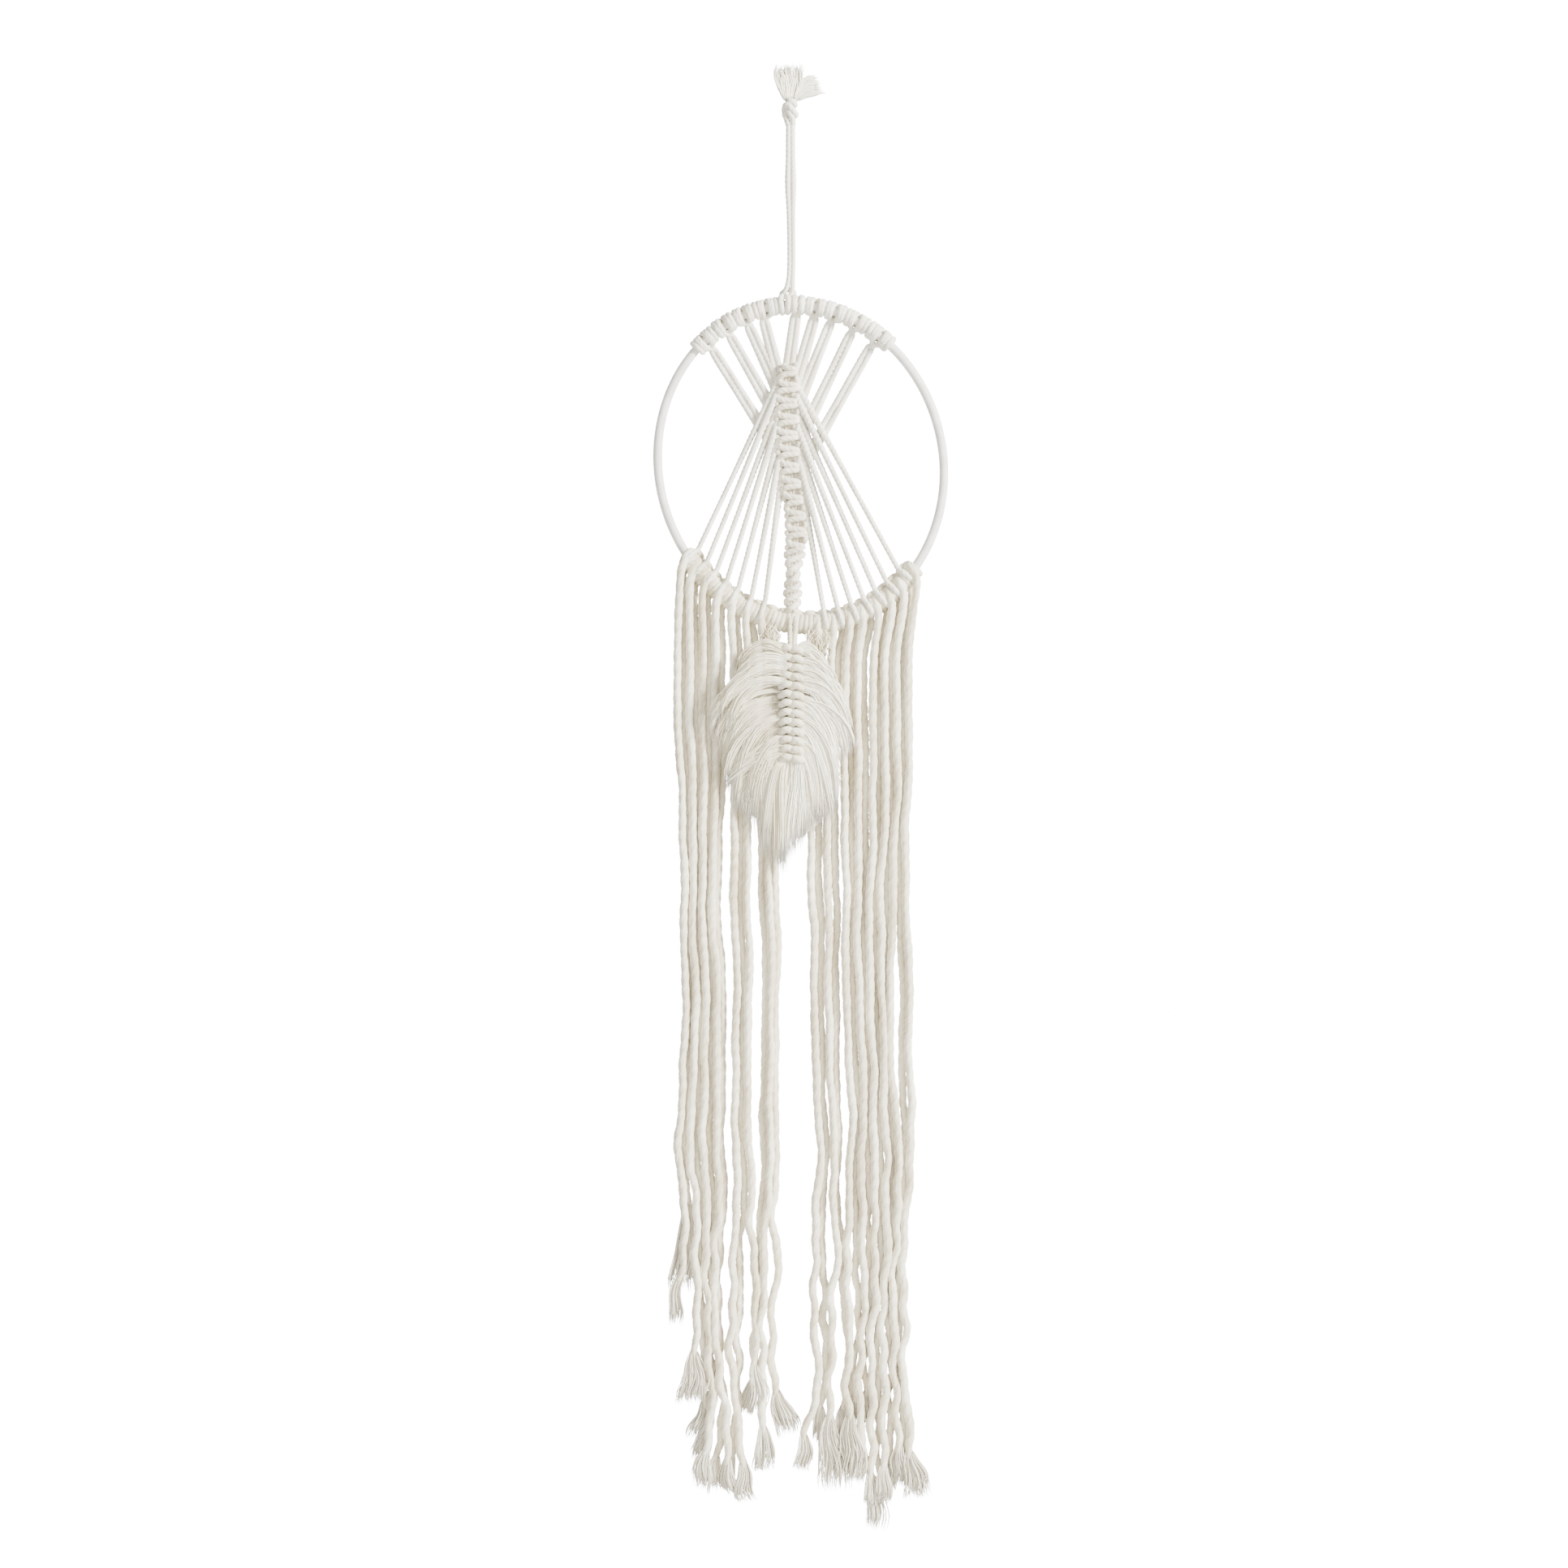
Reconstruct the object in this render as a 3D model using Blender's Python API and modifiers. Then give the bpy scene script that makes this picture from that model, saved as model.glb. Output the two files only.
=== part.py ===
"""A white cotton dreamcatcher: a slim oval hoop, a knotted web, a brushed leaf and a long fringe.

Frame: +X to the viewer's right, +Z up, the face looks along -Y. The origin is the hanging
point, in the eye of the hanger's loop just under its top knot. The tables are in millimetres.
"""

import math

import bmesh
import bpy
from mathutils import Vector

MM = 0.001
GAP = 0.3  # clearance between pieces that touch

# Cord and hoop sizes
CORD = 3.2
FAN_CORD = 3.0
HANGER_CORD = 2.9
FRINGE_CORD = 4.5  # the same cord, slack and opened out where it hangs free
HOOP_ROD = 5.5
HOOP_HALF_WIDE = 87.6
HOOP_HALF_TALL = 98.85
HOOP_TILT = math.radians(12.8)
HOOP_CENTRE = Vector((6.3, 0.0, -210.3))
HOOP_POINTS = 72

# A knot wrapped round the rod is a sleeve: its bore clears the rod, its wall is one cord thick.
SLEEVE_BORE = 3.35
SLEEVE_OUTER = 6.15
FRINGE_ROOT = 5.45  # from the rod's middle to the middle of a fringe cord at its start
SLEEVE_STEP = 6.0

# Depth (Y) of the layers
FRONT_LAYER = -2.3
BACK_LAYER = 2.3
FAN_DEPTH = (-0.7, -3.5)  # neighbouring fan cords take turns
FAN_FOOT = (0.9, 0.25)  # how far short of the lower band each stops
WEB_DEPTH = 2.7
WEB_OVERLAP = 0.2
FAN_OVERLAP = 0.7
WEB_INWARD = 4.4  # where a web strand starts inside its knot's wall

# Upper web: one folded cord a row, from its knot on the hoop to where it joins the spine.
# name, x of its knot's two ends, x of its strands on the hoop, z where it meets the spine,
# and how it meets it: at its side, or at this x on its back or top
WEB_CORDS = (
    ("web_left_1", -58.0, -46.9, -52.5, -210.5, "side"),
    ("web_left_2", -46.2, -34.9, -41.0, -189.0, "side"),
    ("web_left_3", -34.2, -23.4, -28.5, -170.0, "side"),
    ("web_left_4", -22.7, -7.5, -18.0, -164.0, -5.3),
    ("web_centre", 0.3, 8.7, 3.5, -149.0, -1.8),
    ("web_right_1", 9.4, 21.0, 16.0, -164.0, 1.9),
    ("web_right_2", 21.7, 33.4, 27.0, -182.0, "side"),
    ("web_right_3", 34.1, 47.3, 41.0, -202.5, "side"),
    ("web_right_4", 48.1, 61.5, 54.0, -219.5, "side"),
)
# The hanger's own knot lies between these two places on the upper arc.
HANGER_SEAT = (-6.9, -0.3)

# Lower fan: one cord a row. name, z where it leaves the spine, x where it meets the hoop
FAN_CORDS_LEFT = (
    ("fan_left_1", -158.0, -63.0),
    ("fan_left_2", -167.0, -57.0),
    ("fan_left_3", -177.0, -51.0),
    ("fan_left_4", -186.0, -44.0),
    ("fan_left_5", -196.5, -36.5),
    ("fan_left_6", -208.0, -27.5),
    ("fan_left_7", -220.0, -18.5),
)
FAN_CORDS_RIGHT = (
    ("fan_right_1", -161.5, 72.0),
    ("fan_right_2", -170.0, 64.0),
    ("fan_right_3", -179.5, 56.5),
    ("fan_right_4", -189.0, 48.5),
    ("fan_right_5", -198.5, 40.0),
    ("fan_right_6", -209.0, 31.0),
    ("fan_right_7", -219.5, 21.5),
)

# Spine: z, middle x, half width, half depth, turn in degrees
SPINE_SECTIONS = (
    (-149.5, -1.5, 4.2, 3.4, 0.0),
    (-156.0, -2.0, 6.6, 4.4, 0.0),
    (-166.0, -2.2, 7.4, 4.6, 0.0),
    (-190.0, -1.8, 7.6, 4.6, 0.0),
    (-212.0, -0.6, 7.2, 4.6, 0.0),
    (-232.0, 1.6, 6.4, 4.5, 0.0),
    (-243.0, 3.4, 6.2, 4.4, 30.0),
    (-254.0, 3.8, 7.0, 4.4, 165.0),
    (-265.0, 2.6, 6.2, 4.2, 215.0),
    (-276.0, 1.2, 5.8, 4.2, 300.0),
    (-290.0, 0.4, 5.6, 4.2, 400.0),
    (-300.3, 0.2, 5.6, 4.2, 480.0),
)
SPINE_STEP = 5.0  # half a knot
SPINE_WAIST = 0.92  # how far a square knot draws in between its bars
SPIRAL_START = -238.0

# Leaf: z, left edge, right edge, middle y, half thickness
LEAF_SECTIONS = (
    (-319.5, -13.0, 13.0, -7.6, 1.2),
    (-325.0, -21.5, 14.5, -8.2, 2.0),
    (-336.5, -28.0, 18.0, -8.8, 2.6),
    (-349.0, -34.0, 23.5, -9.0, 2.9),
    (-361.5, -42.5, 30.0, -9.0, 2.9),
    (-374.0, -47.0, 34.0, -9.0, 2.9),
    (-386.5, -46.5, 37.5, -9.0, 2.9),
    (-396.5, -43.0, 32.0, -9.0, 2.8),
    (-406.5, -38.5, 28.0, -9.0, 2.7),
    (-416.5, -38.0, 29.5, -8.9, 2.5),
    (-425.5, -35.0, 28.5, -8.8, 2.3),
    (-431.5, -23.0, 23.0, -8.6, 2.1),
    (-438.0, -20.5, 12.0, -8.4, 1.9),
    (-446.5, -16.0, 5.5, -8.2, 1.7),
    (-455.0, -14.0, 0.0, -8.0, 1.4),
    (-462.5, -8.5, -4.5, -7.8, 0.9),
)
# Leaf rib: z, middle x, middle y, half width, half depth
RIB_SECTIONS = (
    (-314.6, 0.8, -1.6, 2.4, 1.6),
    (-319.0, 0.8, -4.6, 2.8, 2.2),
    (-324.0, 0.6, -7.6, 4.6, 3.4),
    (-332.0, 0.5, -9.0, 6.6, 4.4),
    (-350.0, 0.5, -9.0, 7.4, 4.8),
    (-380.0, 0.5, -9.0, 7.2, 4.8),
    (-390.0, 0.3, -9.0, 5.6, 4.4),
    (-394.0, 0.2, -9.0, 3.2, 3.6),
)

# Fringe: one cord a row. name, layer, x on the hoop, x at each of FRINGE_HEIGHTS as far as
# the cord reaches, x and z of its tip, length and half width of its brushed end.
FRINGE_HEIGHTS = (-324, -400, -475, -550, -625, -675, -700, -725, -775)
FRONT, BACK = FRONT_LAYER, BACK_LAYER
FRINGE = (
    ("left_1", FRONT, -64.0, (-70, -68, -65, -65, -68, -66, -66.5, -70.5), -72, -740, 22, 2.6),
    ("left_2", BACK, -62.0, (-66, -64.5, -62.5, -62.5, -64, -64.5, -65), -67, -722, 45, 4.5),
    ("left_3", FRONT, -59.0, (-62, -61, -59.5, -59, -61, -59, -58.5, -57, -58), -59, -788, 22, 6.0),
    ("left_4", BACK, -55.5, (-58, -57.5, -57, -56, -57, -56, -55.5, -55, -51), -58.5, -813, 18, 4.5),
    ("left_5", FRONT, -52.0, (-54, -54, -54, -52.5, -53, -52.5, -52.5, -51, -48), -56, -843, 18, 4.0),
    ("left_6", BACK, -48.0, (-50, -50.5, -51, -49, -49, -49, -48.5, -48.5, -47), -57, -824, 16, 3.5),
    ("left_7", FRONT, -44.0, (-46, -46.5, -48, -45.5, -44.5, -46, -46.5, -47, -43), -37, -844, 14, 3.2),
    ("left_8", BACK, -40.0, (-42, -42.5, -45, -42, -42, -43, -44, -44.5, -42.5), -46, -843, 14, 3.2),
    ("left_9", FRONT, -35.5, (-35, -34.5, -34.5, -33.5, -33.5, -34.5, -34.5, -35, -37), -26, -848, 16, 3.4),
    ("left_10", BACK, -31.5, (-31, -30.5, -30.5, -29.5, -29.5, -30, -31, -31, -33), -38, -842, 14, 3.0),
    ("left_11", FRONT, -27.0, (-26, -26, -26.5, -26, -26, -25, -21.5, -20.5, -22), -21, -792, 20, 3.6),
    ("left_12", BACK, -22.5, (-20, -18, -17, -15, -16.5, -18.5, -19, -19, -24), -29.5, -795, 14, 3.2),
    ("left_13", FRONT, -18.0, (-15, -14, -13, -12, -13, -15, -16, -16.5, -19), -14.5, -829, 18, 4.0),
    ("left_14", BACK, -13.0, (-11, -10, -9, -9, -9.5, -11.5, -6, -10.5, -13), 0, -808, 20, 4.6),
    ("right_1", FRONT, 17.0, (15, 13, 13, 15, 17.5, 16, 16.5, 14, 16), 7, -829, 14, 3.2),
    ("right_2", BACK, 22.0, (19, 17.5, 17.5, 19, 20.5, 20, 20, 21.5, 20), 19, -813, 14, 3.2),
    ("right_3", FRONT, 27.0, (25, 23, 22.5, 24, 25.5, 28, 30, 24.5, 23.5), 28, -842, 34, 6.0),
    ("right_4", BACK, 32.0, (29, 27.5, 27.5, 28.5, 28, 30, 32, 32.5, 36), 34, -836, 34, 6.0),
    ("right_5", FRONT, 37.0, (33.5, 33.5, 33.5, 35, 37.5, 36.5, 34.2, 35, 35.5), 38.5, -838, 32, 5.5),
    ("right_6", BACK, 41.0, (37.5, 38, 37.5, 39, 41, 40.5, 40.5, 41, 39.5), 44, -802, 12, 3.0),
    ("right_7", FRONT, 45.0, (41, 42, 41, 43, 45, 44, 44.5, 44.5, 43.5), 43.5, -835, 12, 3.4),
    ("right_8", BACK, 48.6, (44.5, 46.5, 45, 46, 48.5, 48, 48, 48, 47), 48, -800, 12, 3.0),
    ("right_9", FRONT, 53.5, (51, 51, 49, 49, 52.5, 51.5, 51, 51.5, 50.5), 49, -853, 14, 3.2),
    ("right_10", BACK, 57.5, (54.5, 54.5, 52.5, 52.5, 56, 55, 54.5, 55, 54), 53, -866, 22, 4.2),
    ("right_11", FRONT, 61.5, (58, 58.5, 56, 56, 59.5, 58.5, 58.5, 58, 57.5), 56, -850, 16, 3.2),
    ("right_12", BACK, 65.0, (62, 62, 59.5, 58, 63, 62, 61.5, 61.5, 61), 60, -842, 14, 3.2),
    ("right_13", FRONT, 68.5, (65.5, 65.5, 63.5, 60, 66.5, 65, 64.5, 64.5, 63.5), 67, -836, 14, 3.4),
    ("right_14", BACK, 72.0, (69, 69, 67, 69.5, 70, 68, 67.5, 67.5, 66), 72, -840, 16, 3.6),
    ("right_15", FRONT, 76.0, (72.5, 72.5, 70.5, 73.5, 74, 70.5, 70.5, 70, 68.5), 79.5, -846, 20, 5.0),
)
FRINGE_BAND = (-65.5, 78.0)  # x of the two ends of the band of knots on the lower arc
FRINGE_STEPS = 1  # points for each stretch between two heights
FRINGE_SWAY = 0.5  # a cord's slight waver
TUFT_NARROW = 0.55  # width of a brushed end's very tip, as a share of its widest

# Hanger: middle x of each strand as it goes down. z, left x, right x
HANGER_ROUTE = (
    (1.7, -1.6, 1.6),
    (-8.0, -1.55, 1.55),
    (-22.0, -1.6, 1.55),
    (-34.0, -1.9, 1.9),
    (-44.0, -1.6, 2.6),
    (-56.0, -1.7, 1.6),
    (-70.0, -1.4, 1.7),
    (-84.0, -1.1, 2.0),
    (-95.0, -1.9, 1.3),
    (-102.0, -3.4, -0.2),
    (-107.0, -5.0, -1.9),
)
# Top knot: z, middle x, half width, half depth
KNOT_SECTIONS = (
    (2.0, 0.0, 3.4, 2.2),
    (5.0, 0.0, 4.7, 3.6),
    (10.0, 0.0, 5.1, 4.1),
    (14.0, -0.6, 4.2, 3.2),
    (16.5, -1.0, 3.0, 2.2),
)
# Upright tail: z, middle x, half width, half depth
TAIL_UP_SECTIONS = (
    (16.8, -1.2, 2.9, 1.8),
    (22.0, -1.8, 4.4, 2.2),
    (29.0, -1.9, 6.4, 2.5),
    (36.5, -1.5, 7.4, 2.0),
)
# Side tail: x, middle z, half height, half depth
TAIL_SIDE_SECTIONS = (
    (3.3, 15.8, 1.3, 1.2),
    (8.0, 18.2, 3.2, 1.8),
    (13.0, 20.8, 5.8, 2.2),
    (17.0, 21.4, 5.4, 2.0),
    (20.5, 21.4, 3.0, 1.2),
)
TAIL_SIDE_DEPTH = 1.3

CRUMB_FACES = 20  # a loose shell with fewer faces is a leftover

PARTS = "dreamcatcher"
CUTTERS = "cutters"


def clear_scene():
    for obj in list(bpy.data.objects):
        bpy.data.objects.remove(obj, do_unlink=True)


def make_collection(name):
    collection = bpy.data.collections.new(name)
    bpy.context.scene.collection.children.link(collection)
    return collection


def make_material(name, color, roughness):
    material = bpy.data.materials.new(name)
    material.use_nodes = True
    shader = material.node_tree.nodes["Principled BSDF"]
    shader.inputs["Base Color"].default_value = (*color, 1.0)
    shader.inputs["Roughness"].default_value = roughness
    shader.inputs["Metallic"].default_value = 0.0
    material.diffuse_color = (*color, 1.0)
    return material


# --- the hoop's oval -------------------------------------------------------------------


def hoop_point(angle, out=0.0, depth=0.0):
    """A point on the oval. out moves it away from the oval's middle, depth moves it back."""
    across = Vector((math.cos(HOOP_TILT), 0.0, math.sin(HOOP_TILT)))
    upward = Vector((-math.sin(HOOP_TILT), 0.0, math.cos(HOOP_TILT)))
    point = across * (HOOP_HALF_WIDE * math.cos(angle)) + upward * (HOOP_HALF_TALL * math.sin(angle))
    normal = across * (math.cos(angle) / HOOP_HALF_WIDE) + upward * (math.sin(angle) / HOOP_HALF_TALL)
    return HOOP_CENTRE + point + normal.normalized() * out + Vector((0.0, depth, 0.0))


def hoop_angle(x, upper):
    """The angle on the upper or lower arc at which the oval has this x."""
    wide = HOOP_HALF_WIDE * math.cos(HOOP_TILT)
    tall = HOOP_HALF_TALL * math.sin(HOOP_TILT)
    turn = math.acos((x - HOOP_CENTRE.x) / math.hypot(wide, tall))
    return (turn if upper else -turn) - math.atan2(tall, wide)


# --- shapes ----------------------------------------------------------------------------


def curve_mesh(name, points, radii, level, cyclic=False, caps=True):
    """The mesh of a round tube along the points, with a radius at each."""
    curve = bpy.data.curves.new(name, "CURVE")
    curve.dimensions = "3D"
    curve.bevel_depth = MM
    curve.bevel_resolution = level
    curve.use_fill_caps = caps
    spline = curve.splines.new("POLY")
    spline.points.add(len(points) - 1)
    spline.use_cyclic_u = cyclic
    for knot, point, radius in zip(spline.points, points, radii):
        knot.co = (*(point * MM), 1.0)
        knot.radius = radius
    guide = bpy.data.objects.new(name, curve)
    bpy.context.scene.collection.objects.link(guide)
    graph = bpy.context.evaluated_depsgraph_get()
    mesh = bpy.data.meshes.new_from_object(guide.evaluated_get(graph))
    bpy.data.objects.remove(guide, do_unlink=True)
    bpy.data.curves.remove(curve)
    weld(mesh)
    return mesh


def weld(mesh):
    """Merges doubled points and turns the faces outwards."""
    shape = bmesh.new()
    shape.from_mesh(mesh)
    bmesh.ops.remove_doubles(shape, verts=shape.verts, dist=0.00001)
    bmesh.ops.recalc_face_normals(shape, faces=shape.faces)
    shape.to_mesh(mesh)
    shape.free()


def loft(name, rings):
    """A closed skin over rings of unlike size, all with the same number of points."""
    shape = bmesh.new()
    loops = [[shape.verts.new(point * MM) for point in ring] for ring in rings]
    count = len(rings[0])
    for lower, upper in zip(loops, loops[1:]):
        for i in range(count):
            j = (i + 1) % count
            shape.faces.new((lower[i], lower[j], upper[j], upper[i]))
    shape.faces.new(loops[0])
    shape.faces.new(loops[-1])
    bmesh.ops.recalc_face_normals(shape, faces=shape.faces)
    mesh = bpy.data.meshes.new(name)
    shape.to_mesh(mesh)
    shape.free()
    return mesh


def oval_ring(middle, half_wide, half_deep, sides, turn=0.0, flat_axis="Z"):
    """Points round an oval that lies across the Z axis, or across X."""
    ring = []
    for i in range(sides):
        angle = math.tau * i / sides
        wide = half_wide * math.cos(angle)
        deep = half_deep * math.sin(angle)
        along = wide * math.cos(turn) - deep * math.sin(turn)
        back = wide * math.sin(turn) + deep * math.cos(turn)
        offset = Vector((along, back, 0.0)) if flat_axis == "Z" else Vector((0.0, back, along))
        ring.append(middle + offset)
    return ring


def add_piece(name, mesh, material, collection):
    mesh.name = name
    mesh.materials.clear()
    mesh.materials.append(material)
    mesh.shade_smooth()
    mesh.set_sharp_from_angle(angle=math.radians(40))
    piece = bpy.data.objects.new(name, mesh)
    collection.objects.link(piece)
    return piece


def joined(name, meshes, cutters):
    """One closed mesh from several that overlap."""
    base = bpy.data.objects.new(name, meshes[0])
    bpy.context.scene.collection.objects.link(base)
    group = bpy.data.collections.new(name + "_parts")
    cutters.children.link(group)
    for i, mesh in enumerate(meshes[1:]):
        other = bpy.data.objects.new(f"{name}_{i}", mesh)
        group.objects.link(other)
        union = base.modifiers.new(f"union_{i}", "BOOLEAN")
        union.operation = "UNION"
        union.object = other
    mesh = applied(base, group)
    drop_crumbs(mesh)
    return mesh


def drop_crumbs(mesh):
    """Removes the tiny loose shells that a union can leave where skins graze."""
    shape = bmesh.new()
    shape.from_mesh(mesh)
    seen = set()
    crumbs = []
    for face in shape.faces:
        if face in seen:
            continue
        island = [face]
        seen.add(face)
        for current in island:
            for edge in current.edges:
                fresh = [other for other in edge.link_faces if other not in seen]
                seen.update(fresh)
                island += fresh
        if len(island) < CRUMB_FACES:
            crumbs += island
    bmesh.ops.delete(shape, geom=crumbs, context="FACES")
    shape.to_mesh(mesh)
    shape.free()


def applied(base, group):
    """The mesh of an object with its modifiers, once the helpers are gone."""
    graph = bpy.context.evaluated_depsgraph_get()
    graph.update()
    mesh = bpy.data.meshes.new_from_object(base.evaluated_get(graph))
    for helper in list(group.objects):
        bpy.data.objects.remove(helper, do_unlink=True)
    bpy.data.collections.remove(group)
    bpy.data.objects.remove(base, do_unlink=True)
    weld(mesh)
    return mesh


def cut_away(name, mesh, cutter_mesh, cutters):
    base = bpy.data.objects.new(name, mesh)
    bpy.context.scene.collection.objects.link(base)
    group = bpy.data.collections.new(name + "_cut")
    cutters.children.link(group)
    cutter = bpy.data.objects.new(name + "_cutter", cutter_mesh)
    group.objects.link(cutter)
    cut = base.modifiers.new("cut", "BOOLEAN")
    cut.operation = "DIFFERENCE"
    cut.object = cutter
    return applied(base, group)


def sleeve_mesh(name, from_x, to_x, upper):
    """A knot or a band of knots round the rod, between two places on an arc."""
    start = hoop_angle(from_x, upper)
    end = hoop_angle(to_x, upper)
    length = abs(end - start) * (HOOP_HALF_WIDE + HOOP_HALF_TALL) / 2
    count = max(2, math.ceil(length / SLEEVE_STEP))
    points = [hoop_point(start + (end - start) * i / count) for i in range(count + 1)]
    shell = curve_mesh(name, points, [SLEEVE_BORE] * len(points), 2, caps=False)
    base = bpy.data.objects.new(name, shell)
    bpy.context.scene.collection.objects.link(base)
    wall = base.modifiers.new("wall", "SOLIDIFY")
    wall.thickness = (SLEEVE_OUTER - SLEEVE_BORE) * MM
    wall.offset = 1.0
    graph = bpy.context.evaluated_depsgraph_get()
    graph.update()
    mesh = bpy.data.meshes.new_from_object(base.evaluated_get(graph))
    bpy.data.objects.remove(base, do_unlink=True)
    weld(mesh)
    return mesh


def between(rows, place):
    """The values of a table at a place between its rows, whose first column falls."""
    for upper, lower in zip(rows, rows[1:]):
        if place >= lower[0]:
            share = (upper[0] - place) / (upper[0] - lower[0])
            return [a + (b - a) * share for a, b in zip(upper, lower)]
    return list(rows[-1])


def smooth_through(points, steps):
    """A smooth curve through the points, with so many steps for each stretch."""
    out = []
    for i in range(len(points) - 1):
        before = points[max(i - 1, 0)]
        here = points[i]
        ahead = points[i + 1]
        after = points[min(i + 2, len(points) - 1)]
        for k in range(steps):
            t = k / steps
            out.append(
                0.5
                * (
                    2 * here
                    + (ahead - before) * t
                    + (2 * before - 5 * here + 4 * ahead - after) * t * t
                    + (3 * here - before - 3 * ahead + after) * t**3
                )
            )
    out.append(points[-1].copy())
    return out


# --- the pieces ------------------------------------------------------------------------


def make_hoop(material, parts):
    points = [hoop_point(math.tau * i / HOOP_POINTS) for i in range(HOOP_POINTS)]
    mesh = curve_mesh("hoop", points, [HOOP_ROD / 2] * HOOP_POINTS, 2, cyclic=True)
    add_piece("hoop", mesh, material, parts)


def make_hanger(material, parts, cutters):
    seat = sleeve_mesh("hanger_seat", HANGER_SEAT[0], HANGER_SEAT[1], upper=True)
    meshes = [seat]
    for side in (1, 2):
        points = smooth_through([Vector((row[side], 0.0, row[0])) for row in HANGER_ROUTE], 2)
        # The strand ends inside its knot's wall.
        meshes.append(curve_mesh("strand", points, [HANGER_CORD / 2] * len(points), 2))
    add_piece("hanger_loop", joined("hanger_loop", meshes, cutters), material, parts)

    rings = [oval_ring(Vector((x, 0.0, z)), wide, deep, 10) for z, x, wide, deep in KNOT_SECTIONS]
    add_piece("hanger_knot", loft("hanger_knot", rings), material, parts)
    rings = [
        oval_ring(Vector((x, -0.6, z)), wide, deep, 10) for z, x, wide, deep in TAIL_UP_SECTIONS
    ]
    add_piece("hanger_tail_up", loft("hanger_tail_up", rings), material, parts)
    rings = [
        oval_ring(Vector((x, TAIL_SIDE_DEPTH, z)), tall, deep, 10, flat_axis="X")
        for x, z, tall, deep in TAIL_SIDE_SECTIONS
    ]
    add_piece("hanger_tail_side", loft("hanger_tail_side", rings), material, parts)


def stop_at_spine(start, spine_z, radius, overlap):
    """Where a straight cord from start comes up to the spine's side at about this height.

    overlap is the share of its radius by which it lies in front of or behind the spine's edge.
    """
    depth = start.y
    near = max(0.0, abs(depth) - radius * overlap)
    side = math.copysign(1.0, start.x - between(SPINE_SECTIONS, spine_z)[1])
    end = Vector((0.0, depth, spine_z))
    for _ in range(3):
        _, x, wide, deep, _ = between(SPINE_SECTIONS, end.z)
        edge = wide * math.sqrt(1.0 - (near / deep) ** 2)
        # The cord's round side, not its middle line, comes up to the spine.
        lean = abs((end - start).normalized().z)
        end.x = x + side * (edge + GAP + radius * lean)
    return end


def make_web(material, parts, cutters):
    """The folded cords of the upper arc: a knot on the hoop and two strands to the spine."""
    radius = (HOOP_HALF_WIDE + HOOP_HALF_TALL) / 2
    top = SPINE_SECTIONS[0][0]
    back = SPINE_SECTIONS[3][3] + GAP + CORD / 2
    for name, left, right, hoop_x, spine_z, place in WEB_CORDS:
        meshes = [sleeve_mesh(name, left, right, upper=True)]
        for way in (-1, 1):
            aside = way * (CORD + GAP) / 2
            angle = hoop_angle(hoop_x, upper=True) - aside / radius
            knot = hoop_point(angle, out=-WEB_INWARD, depth=WEB_DEPTH)
            if place == "side":
                # Strands side by side meet the upright spine one above the other.
                outer = math.copysign(1.0, way * hoop_x)
                run = (stop_at_spine(knot, spine_z, CORD / 2, WEB_OVERLAP) - knot).normalized()
                lower = outer * abs(aside / run.x)
                end = stop_at_spine(knot, spine_z - lower, CORD / 2, WEB_OVERLAP)
            else:
                depth = WEB_DEPTH if spine_z > top else back
                end = Vector((place + aside, depth, spine_z))
            meshes.append(curve_mesh("strand", [knot, end], [CORD / 2] * 2, 2))
        add_piece(name, joined(name, meshes, cutters), material, parts)


def make_spine(material, parts):
    top = SPINE_SECTIONS[0][0]
    bottom = SPINE_SECTIONS[-1][0]
    count = round((top - bottom) / SPINE_STEP)
    rings = []
    for i in range(count + 1):
        z = top + (bottom - top) * i / count
        _, x, wide, deep, turn = between(SPINE_SECTIONS, z)
        waist = SPINE_WAIST if i % 2 and z > SPIRAL_START else 1.0
        middle = Vector((x, 0.0, z))
        rings.append(oval_ring(middle, wide * waist, deep * waist, 12, math.radians(turn)))
    add_piece("spine", loft("spine", rings), material, parts)


def make_fan(material, parts):
    for rows in (FAN_CORDS_LEFT, FAN_CORDS_RIGHT):
        for i, (name, spine_z, hoop_x) in enumerate(rows):
            depth = FAN_DEPTH[i % 2]
            near = max(0.0, abs(depth) - FAN_CORD / 2)
            out = -(math.sqrt(SLEEVE_OUTER**2 - near**2) + FAN_FOOT[i % 2])
            foot = hoop_point(hoop_angle(hoop_x, upper=False), out=out, depth=depth)
            head = stop_at_spine(foot, spine_z, FAN_CORD / 2, FAN_OVERLAP)
            mesh = curve_mesh(name, [head, foot], [FAN_CORD / 2] * 2, 2)
            add_piece(name, mesh, material, parts)


def fringe_route(index, row):
    """The middle line of one fringe cord, from its knot to its tip."""
    _, layer, hoop_x, places, tip_x, tip_z, _, _ = row
    turned_out = FRINGE_ROOT * 0.7
    depth = math.copysign(FRINGE_ROOT * 0.72, layer)
    points = [hoop_point(hoop_angle(hoop_x, upper=False), out=turned_out, depth=depth)]
    for step, (x, z) in enumerate(zip(places, FRINGE_HEIGHTS)):
        sway = FRINGE_SWAY * math.sin(2.4 * step + 1.7 * index)
        points.append(Vector((x, layer + sway, z)))
    points.append(Vector((tip_x, layer, tip_z)))
    return smooth_through(points, FRINGE_STEPS)


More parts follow.
